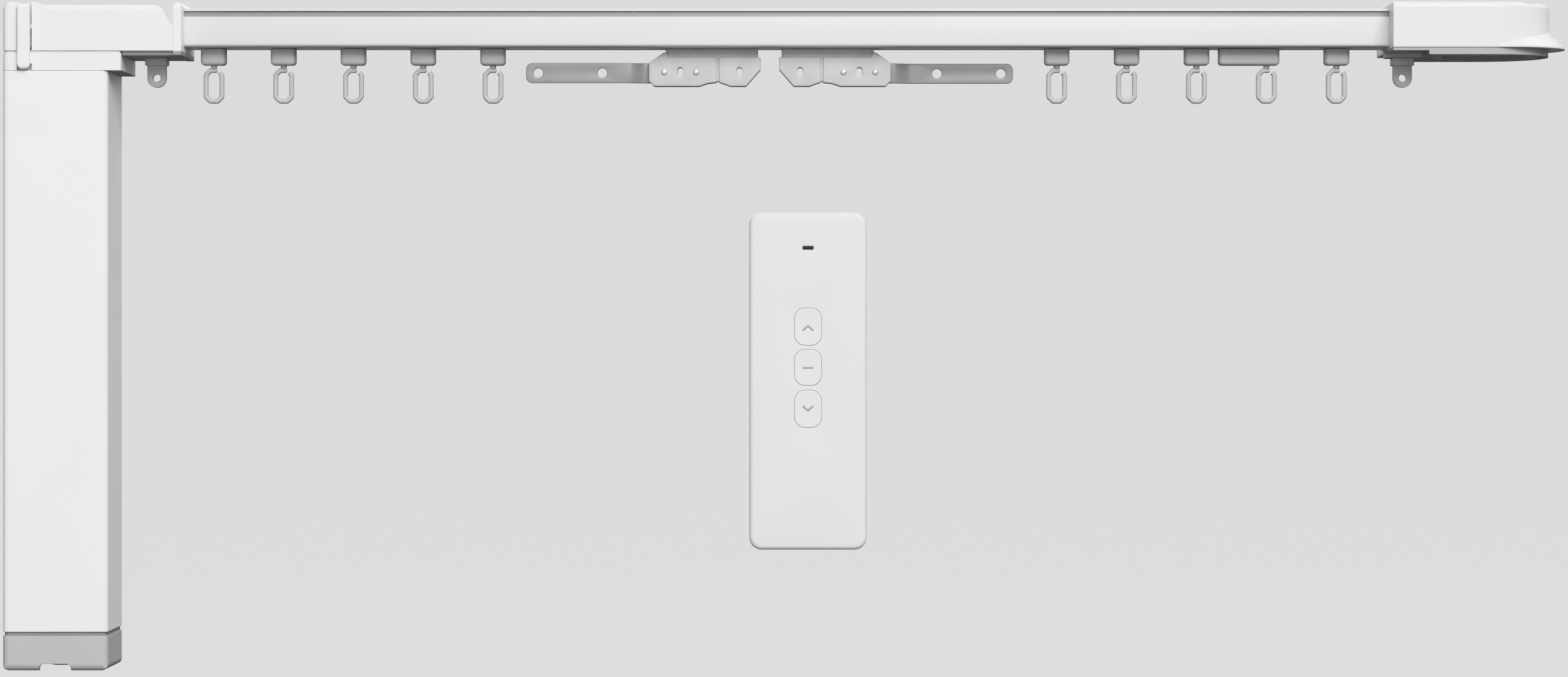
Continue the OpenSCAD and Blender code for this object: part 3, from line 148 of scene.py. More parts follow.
# %% Faces with holes
def is_inside(points, rims):
    """Even-odd rule, for all points and all rim edges at once."""
    a = np.concatenate(rims)
    b = np.concatenate([np.roll(r, -1, 0) for r in rims])
    x, z = points[:, :1], points[:, 1:]
    straddles = (a[:, 1] > z) != (b[:, 1] > z)
    rise = np.where(np.abs(b[:, 1] - a[:, 1]) < TINY, TINY, b[:, 1] - a[:, 1])
    left_of = x < (b[:, 0] - a[:, 0]) * (z - a[:, 1]) / rise + a[:, 0]
    return (straddles & left_of).sum(1) % 2 == 1


def fill(rims):
    """Triangles between the rims, as indices into all their points in a row."""
    points = np.concatenate(rims)
    count = np.array([len(r) for r in rims])
    base = np.repeat(np.cumsum(count) - count, count)
    place = np.arange(len(points)) - base
    ahead = base + (place + 1) % np.repeat(count, count)
    edges = np.stack([np.arange(len(points)), ahead], -1).tolist()
    found = delaunay_2d_cdt([Vector(p) for p in points.tolist()], edges, [], 0, SAME_POINT)
    origin = np.array([ids[0] for ids in found[3]])
    triangles = origin[np.array(found[2])]
    return triangles[is_inside(points[triangles].mean(1), rims)]


print("a square with a hole fills with",
      len(fill([rectangle(0, 4, 0, 4), hole(rectangle(1, 2, 1, 2))])), "triangles")

# %% [markdown]
# `soft_solid` is the workhorse: it takes the outlines, the two levels of the end faces and the radius of
# the soft edge at each of them. A hole gets a smaller edge than the outside, as in a real mould. The axes
# of the drawing are turned into the track's own axes by one of three small maps. Rings of points are joined
# by quads, and a ring that ends in a pole is closed by a fan.

# %% Solids with soft edges
def facing_room(p):
    """Drawing in X and Z, with depth towards the room: (u, v, w) goes to (u, -w, v)."""
    return np.stack([p[:, 0], -p[:, 2], p[:, 1]], -1)


def standing(p):
    """Drawing in X and Y, with height: (u, v, w) stays (u, v, w)."""
    return p


def along_rail(p):
    """Drawing in Y and Z, carried along X: (u, v, w) goes to (w, u, v)."""
    return np.stack([p[:, 2], p[:, 0], p[:, 1]], -1)


def ring_quads(index):
    """Quads between neighbouring rings, for a grid of point numbers with one closed ring in each row."""
    ahead = np.roll(index, -1, 1)
    return np.stack([index[:-1], ahead[:-1], ahead[1:], index[1:]], -1).reshape(-1, 4)


def end_fans(index):
    """Triangles from the first and last rings to two poles, which are numbered after all the rings."""
    ahead = np.roll(index, -1, 1)
    foot = np.stack([ahead[0], index[0], np.full(index.shape[1], index.size)], -1)
    head = np.stack([index[-1], ahead[-1], np.full(index.shape[1], index.size + 1)], -1)
    return np.concatenate([foot, head])


def soft_solid(rims, low, high, low_edge, high_edge, turned, rim_edge=0.15, steps=6):
    """Shell between two levels. At angle a of a quarter circle of radius e, a rim is drawn in by
    e (1 - sin a) and lies e (1 - cos a) above the end face. Returns points, quads and triangles."""
    a = np.linspace(0, np.pi / 2, steps)
    rings, offset = [], 0
    quads = []
    for number, rim in enumerate(rims):
        e0 = low_edge if number == 0 else min(rim_edge, low_edge)
        e1 = high_edge if number == 0 else min(rim_edge, high_edge)
        drawn = np.concatenate([e0 * (1 - np.sin(a)), (e1 * (1 - np.sin(a)))[::-1]])
        level = np.concatenate([low + e0 * (1 - np.cos(a)), (high - e1 * (1 - np.cos(a)))[::-1]])
        stack = np.stack([np.column_stack([inset(rim, d), np.full(len(rim), w)])
                          for d, w in zip(drawn, level)])
        index = offset + np.arange(stack.shape[0] * len(rim)).reshape(stack.shape[0], len(rim))
        quads.append(ring_quads(index))
        rings.append((stack, index))
        offset += index.size
    first = np.concatenate([i[0] for _, i in rings])
    last = np.concatenate([i[-1] for _, i in rings])
    under = first[fill([s[0, :, :2] for s, _ in rings])][:, ::-1]
    over = last[fill([s[-1, :, :2] for s, _ in rings])]
    points = np.concatenate([s.reshape(-1, 3) for s, _ in rings])
    return turned(points), np.concatenate(quads), np.concatenate([under, over])


def soft_box(low, high, edge, corner):
    """Upright block with round corners seen from above and soft ends."""
    plan = fillet(rectangle(low[0], high[0], low[1], high[1]), corner)
    return soft_solid([plan], low[2], high[2], edge, edge, standing)


print("a soft box has", len(soft_box((0, 0, 0), (4, 4, 4), 0.4, 0.6)[0]), "points")

# %% [markdown]
# Pins, stems and lips are turned parts: a profile of radius and height goes once round an upright axis.
# The swivel eyes are bent bars: a rounded section is carried along a path that lies in a plane.

# %% Turned parts and bent bars
TIP_SWELL_SQUARED = 0.0025


def turned_part(profile, x, y, steps=32):
    """Point k of the profile, (radius, height), at angle b lies at radius (cos b, sin b) about x, y. The
    first and last points are closed with fans."""
    profile = np.asarray(profile, float)
    b = np.linspace(0, 2 * np.pi, steps, endpoint=False)
    ring = np.stack([np.cos(b), np.sin(b)], -1)
    flat = profile[:, None, :1] * ring + (x, y)
    height = np.broadcast_to(profile[:, None, 1:], (len(profile), steps, 1))
    points = np.concatenate([flat, height], -1).reshape(-1, 3)
    index = np.arange(len(points)).reshape(len(profile), steps)
    poles = np.array([[x, y, profile[0, 1]], [x, y, profile[-1, 1]]])
    return np.concatenate([points, poles]), ring_quads(index), end_fans(index)


def bent_bar(path, half_wide, half_deep, x, blunt=0.4, power=2.6, steps=20):
    """Section |s / half_wide|^power + |y / half_deep|^power = 1, carried along a path in X and Z. The first
    and last stretch, blunt times half_wide long, are drawn in as a quarter circle, so the ends are soft."""
    step = np.gradient(path, axis=0)
    tangent = step / np.linalg.norm(step, axis=1, keepdims=True)
    normal = np.stack([tangent[:, 1], -tangent[:, 0]], -1)
    run = np.concatenate([[0], np.cumsum(np.linalg.norm(np.diff(path, axis=0), axis=1))])
    near = np.clip(np.minimum(run, run[-1] - run) / (blunt * half_wide), 0, 1)
    swell = np.sqrt(np.clip(1 - (1 - near) ** 2, TIP_SWELL_SQUARED, 1))
    b = np.linspace(0, 2 * np.pi, steps, endpoint=False)
    side = np.sign(np.cos(b)) * np.abs(np.cos(b)) ** (2 / power) * half_wide
    deep = np.sign(np.sin(b)) * np.abs(np.sin(b)) ** (2 / power) * half_deep
    flat = path[:, None] + normal[:, None] * (swell[:, None] * side)[..., None]
    points = np.stack([flat[..., 0] + x, swell[:, None] * deep, flat[..., 1]], -1).reshape(-1, 3)
    index = np.arange(len(points)).reshape(len(path), steps)
    ahead = np.roll(index, -1, 1)
    quads = np.stack([index[:-1], index[1:], ahead[1:], ahead[:-1]], -1).reshape(-1, 4)
    ends = np.array([[path[0, 0] + x, 0, path[0, 1]], [path[-1, 0] + x, 0, path[-1, 1]]])
    count = len(points)
    tip = np.stack([index[0], ahead[0], np.full(steps, count)], -1)
    tail = np.stack([ahead[-1], index[-1], np.full(steps, count + 1)], -1)
    return np.concatenate([points, ends]), quads, np.concatenate([tip, tail])


print("a turned pin has", len(turned_part([(1, 0), (1, 2)], 0, 0)[0]), "points")

# %% [markdown]
# A finished piece is one mesh object at the origin. Its points are in millimetres up to here and go into
# the mesh in metres. The flat end faces are shaded flat and the curved walls smooth. Each piece rides on
# its CAD body and hides the CAD nodes that it replaces.

# %% Pieces
SHARP_ANGLE = np.radians(40)
SIDES = ("left", "right")


def piece(name, shells, finish, body, slot, *nodes):
    """Puts several shells into one mesh and hands it to the frame."""
    counts = np.array([len(s[0]) for s in shells])
    starts = np.cumsum(counts) - counts
    points = np.concatenate([s[0] for s in shells]) * MM
    quads = np.concatenate([s[1] + at for s, at in zip(shells, starts)])
    triangles = np.concatenate([s[2] + at for s, at in zip(shells, starts)])
    mesh = bpy.data.meshes.new(name)
    mesh.from_pydata(points.tolist(), [], quads.tolist() + triangles.tolist())
    mesh.polygons.foreach_set("use_smooth", np.arange(len(mesh.polygons)) < len(quads))
    mesh.set_sharp_from_angle(angle=SHARP_ANGLE)
    mesh.materials.append(finish)
    mesh.update()
    obj = bpy.data.objects.new(name, mesh)
    bpy.context.scene.collection.objects.link(obj)
    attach(obj, body)
    if nodes:
        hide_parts(*nodes)


def box_mm(node):
    """Low and high corners of a CAD node, in millimetres."""
    return [np.array(corner[:]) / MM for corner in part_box(node)]


# %% [markdown]
# ## Finishes
#
# A coated or moulded surface is never one flat colour. Each finish below has the same bones: a coarse noise
# that drifts the colour and the gloss a little, and a fine noise that becomes a bump at the right scale,
# such as the orange peel of powder coat or the spark texture of a mould. Everything reads Object
# coordinates, in metres, so a scale of 1000 makes marks about one millimetre across.
#
# Edges are made lighter, partly as worn places and partly as a painted highlight where an edge would
# catch the light. A Bevel node gives the normal that the surface would have if its edges were rounder,
# and where that differs from the true normal there is an edge. The noise breaks this up, so the lighter
# places come and go. The same rounded normal carries the bump, so that even a crisp edge has the small
# highlight of a moulding. A finish may also name bands of height that are darker: painted shade in
# grooves, in seams and under overhangs.

# %% Finish builder
def add(tree, kind, inputs=None, **settings):
    """New node with its settings and unlinked inputs."""
    n = tree.nodes.new(kind)
    for key, value in settings.items():
        setattr(n, key, value)
    for key, value in (inputs or {}).items():
        n.inputs[key].default_value = value
    return n


EDGE_REACH = 0.0007
NO_EDGE, FULL_EDGE = 0.985, 0.8
PATCH_LOW, PATCH_HIGH, LEAST_WEAR = 0.35, 0.6, 0.35
BAND_TOP = 0.15
RAMP_LOW, RAMP_HIGH = 0.3, 0.7


def worn_and_lit_edges(tree, rounded, patches):
    """Share of edge that is lightened as worn and as painted highlight, from 0 to 1: how far the rounded
    normal leaves the true one, by the cosine between them, times the patches."""
    true = add(tree, "ShaderNodeNewGeometry")
    match = add(tree, "ShaderNodeVectorMath", operation="DOT_PRODUCT")
    edge = add(tree, "ShaderNodeMapRange", {"From Min": NO_EDGE, "From Max": FULL_EDGE})
    uneven = add(tree, "ShaderNodeMapRange",
                 {"From Min": PATCH_LOW, "From Max": PATCH_HIGH, "To Min": LEAST_WEAR})
    share = add(tree, "ShaderNodeMath", operation="MULTIPLY")
    tree.links.new(rounded.outputs["Normal"], match.inputs[0])
    tree.links.new(true.outputs["Normal"], match.inputs[1])
    tree.links.new(match.outputs["Value"], edge.inputs["Value"])
    tree.links.new(patches, uneven.inputs["Value"])
    tree.links.new(edge.outputs["Result"], share.inputs[0])
    tree.links.new(uneven.outputs["Result"], share.inputs[1])
    return share.outputs["Value"]


def painted_shade_band(tree, place, colour, low, high, soft, shade):
    """Painted shade: colour times shade between two heights in millimetres. The lower border is soft by the
    given width, and the upper one is crisp."""
    split = add(tree, "ShaderNodeSeparateXYZ")
    rise = add(tree, "ShaderNodeMapRange", {"From Min": (low - soft) * MM, "From Max": low * MM},
               interpolation_type="SMOOTHSTEP")
    fall = add(tree, "ShaderNodeMapRange", {"From Min": (high + BAND_TOP) * MM, "From Max": high * MM},
               interpolation_type="SMOOTHSTEP")
    both = add(tree, "ShaderNodeMath", operation="MULTIPLY")
    dark = add(tree, "ShaderNodeMix", data_type="RGBA", blend_type="MULTIPLY")
    dark.inputs["B"].default_value = (shade, shade, shade, 1)
    tree.links.new(place.outputs["Object"], split.inputs["Vector"])
    tree.links.new(split.outputs["Z"], rise.inputs["Value"])
    tree.links.new(split.outputs["Z"], fall.inputs["Value"])
    tree.links.new(rise.outputs["Result"], both.inputs[0])
    tree.links.new(fall.outputs["Result"], both.inputs[1])
    tree.links.new(both.outputs["Value"], dark.inputs["Factor"])
    tree.links.new(colour, dark.inputs["A"])
    return dark.outputs["Result"]


def finish(name, colour, rough, grain, depth, drift=0.03, gloss=0.05, stretch=(1, 1, 1), patch=35.0,
           wear_and_highlight=1.06, shade_bands=(), **sockets):
    """Principled surface. Colour drifts by drift and roughness by gloss over patches; grain marks per metre
    raise it by depth, and stretch draws the grain out along an axis. Edges have the colour times
    wear_and_highlight, as worn places and as a painted highlight, and shade_bands are heights darkened as
    painted shade. Further sockets are set as given."""
    material = bpy.data.materials.new(name)
    material.use_nodes = True
    tree = material.node_tree
    surface = tree.nodes["Principled BSDF"]
    place = add(tree, "ShaderNodeTexCoord")
    drawn = add(tree, "ShaderNodeMapping")
    drawn.inputs["Scale"].default_value = stretch
    coarse = add(tree, "ShaderNodeTexNoise", {"Scale": patch, "Detail": 3.0})
    fine = add(tree, "ShaderNodeTexNoise", {"Scale": grain, "Detail": 4.0, "Roughness": 0.6})
    ramp = add(tree, "ShaderNodeValToRGB")
    dark_end, light_end = ramp.color_ramp.elements
    dark_end.position, light_end.position = RAMP_LOW, RAMP_HIGH
    dark_end.color = (*[c * (1 - drift) for c in colour], 1)
    light_end.color = (*[min(c * (1 + drift), 1) for c in colour], 1)
    spread = add(tree, "ShaderNodeMapRange", {"To Min": rough - gloss, "To Max": rough + gloss})
    bump = add(tree, "ShaderNodeBump", {"Strength": 1.0, "Distance": depth})
    tree.links.new(place.outputs["Object"], coarse.inputs["Vector"])
    tree.links.new(place.outputs["Object"], drawn.inputs["Vector"])
    tree.links.new(drawn.outputs["Vector"], fine.inputs["Vector"])
    tree.links.new(coarse.outputs["Fac"], ramp.inputs["Fac"])
    tree.links.new(coarse.outputs["Fac"], spread.inputs["Value"])
    tree.links.new(fine.outputs["Fac"], bump.inputs["Height"])
    # Edges are lightened as worn places, and as a painted highlight where they would catch the light.
    rubbed_and_lit = add(tree, "ShaderNodeMix", data_type="RGBA")
    rubbed_and_lit.inputs["B"].default_value = (*[min(c * wear_and_highlight, 1) for c in colour], 1)
    rounded = add(tree, "ShaderNodeBevel", {"Radius": EDGE_REACH}, samples=6)
    tree.links.new(rounded.outputs["Normal"], bump.inputs["Normal"])
    tree.links.new(worn_and_lit_edges(tree, rounded, coarse.outputs["Fac"]), rubbed_and_lit.inputs["Factor"])
    tree.links.new(ramp.outputs["Color"], rubbed_and_lit.inputs["A"])
    shown = rubbed_and_lit.outputs["Result"]
    # Each band paints shade over the colour between its two heights.
    for band in shade_bands:
        shown = painted_shade_band(tree, place, shown, *band)
    tree.links.new(shown, surface.inputs["Base Color"])
    tree.links.new(spread.outputs["Result"], surface.inputs["Roughness"])
    tree.links.new(bump.outputs["Normal"], surface.inputs["Normal"])
    for key, value in sockets.items():
        surface.inputs[key.replace("_", " ")].default_value = value
    return material


print("finish builder ready")

# %% [markdown]
# White first. The rail is an aluminium extrusion with a thin white coat, so faint die lines run along it.
# The motor case has a thicker powder coat with a little orange peel. The covers are white mouldings with a
# fine spark texture and a touch more gloss. A band of painted shade is given as its lower height, its upper
# height, the width of its soft lower border and its shade.

# %% White finishes
# The rail's clip groove is painted in shade, at 0.38 of its colour.
rail_coat = finish("rail_coat", (0.715, 0.715, 0.715), 0.36, 1400, 6e-6, drift=0.012, stretch=(0.004, 1, 1),
                   shade_bands=[(-3.4, -1.2, 0.8, 0.38)], Coat_Weight=0.15, Coat_Roughness=0.3)
motor_coat = finish("motor_coat", (0.89, 0.89, 0.89), 0.42, 1100, 1.2e-5, drift=0.010)
cover_white = finish("cover_white", (0.84, 0.84, 0.84), 0.38, 2600, 8e-6, drift=0.010)
latch_white = finish("latch_white", (0.86, 0.86, 0.86), 0.38, 2600, 8e-6, drift=0.010)
# The head's floor plate, seen from below, is painted in shade at 0.30 of its white.
seat_white = finish("seat_white", (0.84, 0.84, 0.84), 0.40, 2600, 8e-6, drift=0.012,
                    shade_bands=[(-24.0, -20.8, 0.1, 0.30)])
# Painted shade on the motor's top cap: a soft line in the seam at its top, and a dark shadow under its lip.
cap_white = finish("cap_white", (0.84, 0.84, 0.84), 0.38, 2600, 8e-6, drift=0.010,
                   shade_bands=[(-21.8, -20.6, 0.15, 0.80), (-30.4, -29.95, 0.05, 0.25)])
drum_white = finish("drum_white", (0.73, 0.73, 0.73), 0.36, 2600, 8e-6, drift=0.012)
remote_shell = finish("remote_shell", (0.725, 0.725, 0.725), 0.45, 3200, 8e-6, drift=0.008)
key_cap = finish("key_cap", (0.735, 0.735, 0.735), 0.50, 3200, 8e-6, drift=0.008)
acetal = finish("acetal", (0.82, 0.82, 0.79), 0.35, 1500, 6e-6)
print("white finishes:", rail_coat.name, motor_coat.name, cover_white.name, drum_white.name)

# %% [markdown]
# The greys are nylon: the runners and their eyes, the hooks and the two carriers, with the carriers a shade
# lighter and a little milky. The end cap of the motor is a darker textured moulding. The bright metal is
# zinc plated sheet on the arms and turned steel inside the drive.

# %% Grey, metal and dark finishes
base_grey = finish("base_grey", (0.35, 0.35, 0.35), 0.45, 2400, 1e-5)
# Painted shade in the groove at the top of the motor's end cap.
cap_grey = finish("cap_grey", (0.44, 0.44, 0.44), 0.5, 1800, 2e-5,
                  shade_bands=[(-298.5, -296.6, 0.1, 0.5)])
runner_nylon = finish("runner_nylon", (0.46, 0.465, 0.47), 0.42, 1600, 1.2e-5, drift=0.05, patch=160)
eye_nylon = finish("eye_nylon", (0.43, 0.435, 0.44), 0.40, 1600, 1.2e-5, drift=0.04, patch=200)
hook_nylon = finish("hook_nylon", (0.44, 0.44, 0.445), 0.42, 1600, 1.2e-5, drift=0.05, patch=160)
carrier_nylon = finish("carrier_nylon", (0.50, 0.505, 0.51), 0.38, 1600, 1.2e-5, drift=0.06, patch=120,
                       Subsurface_Weight=0.12, Subsurface_Scale=0.004)
arm_zinc = finish("arm_zinc", (0.24, 0.24, 0.245), 0.42, 1800, 5e-6, drift=0.05, gloss=0.08,
                  stretch=(0.03, 1, 1), patch=90, wear_and_highlight=1.3, Metallic=0.3)
turned_steel = finish("turned_steel", (0.58, 0.58, 0.60), 0.28, 2600, 3e-6, stretch=(1, 1, 0.05),
                      Metallic=1.0)
rivet_steel = finish("rivet_steel", (0.72, 0.72, 0.73), 0.30, 2600, 3e-6, wear_and_highlight=1.2, Metallic=0.6)
dark_steel = finish("dark_steel", (0.22, 0.22, 0.235), 0.38, 1500, 6e-6, Metallic=0.9)
gear_brass = finish("gear_brass", (0.72, 0.52, 0.22), 0.3, 1800, 4e-6, Metallic=1.0)
black_rubber = finish("black_rubber", (0.025, 0.025, 0.026), 0.62, 2200, 2e-5, drift=0.15)
solder_mask = finish("solder_mask", (0.03, 0.17, 0.07), 0.32, 420, 3e-5, drift=0.25, patch=260)
lens_black = finish("lens_black", (0.012, 0.012, 0.013), 0.12, 900, 1e-6, drift=0.1)
key_print = finish("key_print", (0.42, 0.42, 0.425), 0.5, 2600, 4e-6)

node_finish = {
    "motor_case": motor_coat, "head_cover": cover_white, "idler_cover": drum_white,
    "motor_top_cap": cap_white, "motor_latch": latch_white, "head_base": seat_white,
    "idler_base": base_grey, "motor_end_cap": cap_grey, "motor_can": dark_steel, "ring_gear": dark_steel,
    "control_board": solder_mask, "remote_board": solder_mask, "cable_gland": black_rubber,
    "belt": black_rubber, "pulley_bearings": turned_steel, "idler_axle": turned_steel,
    "cover_screws": turned_steel, "planet_carrier": turned_steel, "rotor_shaft": turned_steel,
    "planet_gear_1": gear_brass, "planet_gear_2": gear_brass, "planet_gear_3": gear_brass,
    "drive_pulley": acetal, "idler_pulley": acetal, "carrier_left_wheels_1": acetal,
    "carrier_left_wheels_2": acetal, "carrier_right_wheels_1": acetal, "carrier_right_wheels_2": acetal,
    "remote_back": remote_shell, "remote_indicator": lens_black,
}
for node_name, material in node_finish.items():
    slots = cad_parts[node_name].data.materials
    slots.clear()
    slots.append(material)
print("finished CAD nodes:", len(node_finish))

# %% [markdown]
# ## The rail
#
# The rail is one aluminium profile pushed through a die, so its section is the same all along. The section
# is a single closed line, because the slot below joins the inside to the outside. Walking round it gives
# the clip grooves at the top, the runner floor, two low ribs beside the belt and two hanging ribs. A die
# leaves every edge a little round, which is what catches the light along the top.

# %% Rail
rail_low, rail_high = box_mm("rail")
RAIL_H = 18.0
RAIL_HALF_W = (rail_high[1] - rail_low[1]) / 2
WALL, FLOOR = 1.4, 1.5
SLOT_HALF = 3.75
GROOVE_TOP, GROOVE_LOW, GROOVE_DEEP = -1.2, -3.4, 1.2
RIB_IN, RIB_OUT = RAIL_HALF_W - 6.1, RAIL_HALF_W - 5.1
HANGING_RIB_H, FLOOR_RIB_H = 4.0, 2.4
OUTER_R, DIE_R, END_EDGE = 1.5, 0.28, 0.1
NEAR = 0.01


def rail_section():
    """Right half of the section from the slot's lip, out and up to the top, then back along the inside; the
    left half is its mirror image, walked the other way."""
    wall_in = RAIL_HALF_W - WALL
    neck = wall_in - GROOVE_DEEP
    shoulder = GROOVE_LOW - WALL
    outside = [(SLOT_HALF, -RAIL_H), (RAIL_HALF_W, -RAIL_H), (RAIL_HALF_W, GROOVE_LOW),
               (RAIL_HALF_W - GROOVE_DEEP, GROOVE_LOW), (RAIL_HALF_W - GROOVE_DEEP, GROOVE_TOP),
               (RAIL_HALF_W, GROOVE_TOP), (RAIL_HALF_W, 0)]
    rib_low = -WALL - HANGING_RIB_H
    floor_z = -RAIL_H + FLOOR
    rib_top = floor_z + FLOOR_RIB_H
    inside = [(RIB_IN, -WALL), (RIB_IN, rib_low), (RIB_OUT, rib_low), (RIB_OUT, -WALL), (neck, -WALL),
              (neck, shoulder), (wall_in, shoulder), (wall_in, floor_z), (RIB_OUT, floor_z),
              (RIB_OUT, rib_top), (RIB_IN, rib_top), (RIB_IN, floor_z), (SLOT_HALF, floor_z)]
    flip = np.array([-1, 1])
    right_out, right_in = np.array(outside), np.array(inside)
    return np.concatenate([right_out, right_out[::-1] * flip, right_in[::-1] * flip, right_in])


section = rail_section()
outer_edge = (np.abs(section[:, 0]) > RAIL_HALF_W - NEAR) & (section[:, 1] < -RAIL_H + NEAR)
rail_outline = fillet(section, np.where(outer_edge, OUTER_R, DIE_R))
rail_shell = soft_solid([rail_outline], rail_low[0], rail_high[0], END_EDGE, END_EDGE, along_rail, steps=3)
piece("rail_profile", [rail_shell], rail_coat, "track", "rail_white", "rail")
print("rail section has", len(rail_outline), "points")

# %% [markdown]
# ## The runners and their swivel eyes
#
# A runner is a nylon glider: a shoe that slides on the rail's floor, a neck through the slot and a block
# below it with a socket. The block is drawn from above, so the socket stays open, and its lower edge is
# well rounded. One runner on the right has a long block, as the photograph shows.

# %% Runner blocks
BLOCK_TOP, BLOCK_LOW = -18.4, -26.2
BLOCK_HALF_D, BLOCK_CORNER = 4.5, 1.9
BLOCK_LOW_EDGE, BLOCK_TOP_EDGE = 1.7, 0.5
SOCKET_R = 1.8
NECK_HALF_W, NECK_HALF_D, NECK_TOP = 4.5, 2.9, -13.6
SHOE_HALF_W, SHOE_HALF_D = 5.5, RIB_IN - 0.5
SHOE_LOW, SHOE_TOP = -16.2, -13.2
RUNNERS = range(1, 6)


def runner(side, number):
    """Block with its socket, neck and shoe, about the runner's own place on the rail."""
    node = f"runner_{side}_{number}"
    x = np.mean(box_mm(node + "_eye"), axis=0)[0]
    low, high = box_mm(node)
    plan = fillet(rectangle(low[0], high[0], -BLOCK_HALF_D, BLOCK_HALF_D), BLOCK_CORNER)
    socket = hole(oval(x, 0, 2 * SOCKET_R, 2 * SOCKET_R))
    block = soft_solid([plan, socket], BLOCK_LOW, BLOCK_TOP, BLOCK_LOW_EDGE, BLOCK_TOP_EDGE, standing,
                       rim_edge=0.3)
    neck = soft_box((x - NECK_HALF_W, -NECK_HALF_D, BLOCK_TOP - 1),
                    (x + NECK_HALF_W, NECK_HALF_D, NECK_TOP), edge=0.2, corner=0.8)
    shoe = soft_box((x - SHOE_HALF_W, -SHOE_HALF_D, SHOE_LOW),
                    (x + SHOE_HALF_W, SHOE_HALF_D, SHOE_TOP), edge=0.6, corner=1.5)
    piece(f"glider_{side}_{number}", [block, neck, shoe], runner_nylon, node + "_body", "runner_grey", node)


for side in SIDES:
    for number in RUNNERS:
        runner(side, number)

# %% [markdown]
# The eye is a bent bar with eight soft corners. Its path leaves the slit on the right shoulder, runs down,
# round the bottom and up again, and ends under the stem. The stem is a turned part with a head that snaps
# into the socket, and its foot is sunk in the bar.

# %% Swivel eyes
EYE_TOP, EYE_LOW = -27.4, -44.6
EYE_HALF_W, BAR_HALF, BAR_HALF_D = 5.0, 1.2, 1.45
EYE_CORNER, EYE_BEND, OPEN_END = 2.1, 1.0, 0.01


def eye_path(steps=5, count=96):
    """Middle line of the loop: corners joined by round bends, then points spread evenly along the line. The
    first and last corners are its open ends, so only one point of each is kept."""
    r = EYE_HALF_W - BAR_HALF
    top, low = EYE_TOP - BAR_HALF, EYE_LOW + BAR_HALF
    flat = r - EYE_CORNER
    corners = [(2.5, top - 0.8), (r, top - EYE_CORNER), (r, low + EYE_CORNER), (flat, low), (-flat, low),
               (-r, low + EYE_CORNER), (-r, top - EYE_CORNER), (-flat, top), (1.75, top)]
    bends = [OPEN_END] + [EYE_BEND] * (len(corners) - 2) + [OPEN_END]
    line = fillet(corners, bends, steps)[steps - 1:1 - steps]
    run = np.concatenate([[0], np.cumsum(np.linalg.norm(np.diff(line, axis=0), axis=1))])
    even = np.linspace(0, run[-1], count)
    return np.stack([np.interp(even, run, line[:, 0]), np.interp(even, run, line[:, 1])], -1)


def eye(side, number):
    """Loop and stem of one swivel eye."""
    node = f"runner_{side}_{number}_eye"
    x = np.mean(box_mm(node), axis=0)[0]
    loop = bent_bar(eye_path(), BAR_HALF, BAR_HALF_D, x)
    foot = [(0.6, EYE_TOP - 2.0), (1.1, EYE_TOP - 1.6), (1.3, EYE_TOP - 0.9), (1.45, EYE_TOP - 0.1),
            (1.5, EYE_TOP + 0.4)]
    head = [(1.5, BLOCK_LOW + 3.5), (2.4, BLOCK_LOW + 3.6), (2.4, BLOCK_LOW + 4.6), (1.7, BLOCK_LOW + 5.5)]
    stem = turned_part(foot + head, x, 0, steps=24)
    piece(f"loop_{side}_{number}", [loop, stem], eye_nylon, f"eye_{side}_{number}", "runner_grey", node)


for side in SIDES:
    for number in RUNNERS:
        eye(side, number)
print("eye path has", len(eye_path()), "points")

# %% [markdown]
# ## The master carriers
#
# Two carriers meet in the middle and pull the curtain. Each is a nose block and a longer block with a
# slanted shoulder, divided by a shallow upright groove, with slots through both. The right one is the left
# one turned half round, because its clip holds the other run of the belt.

# %% Carrier bodies
BODY_LOW, BODY_MID, BODY_TOP = -36.4, -22.4, -20.2
BODY_LEN, BODY_HALF_D = 53.5, 4.5
NOSE_END, OUTER_END = -19.95, -21.05
DOT_Z = BODY_LOW + 6.8
SLOT_NEAR_X, SLOT_FAR_X = -10.1, -38.5
SLOT_W, SLOT_H = 2.8, 4.6
BELT_IN, BELT_OUT = RAIL_HALF_W - 3.6, RAIL_HALF_W - 2.3


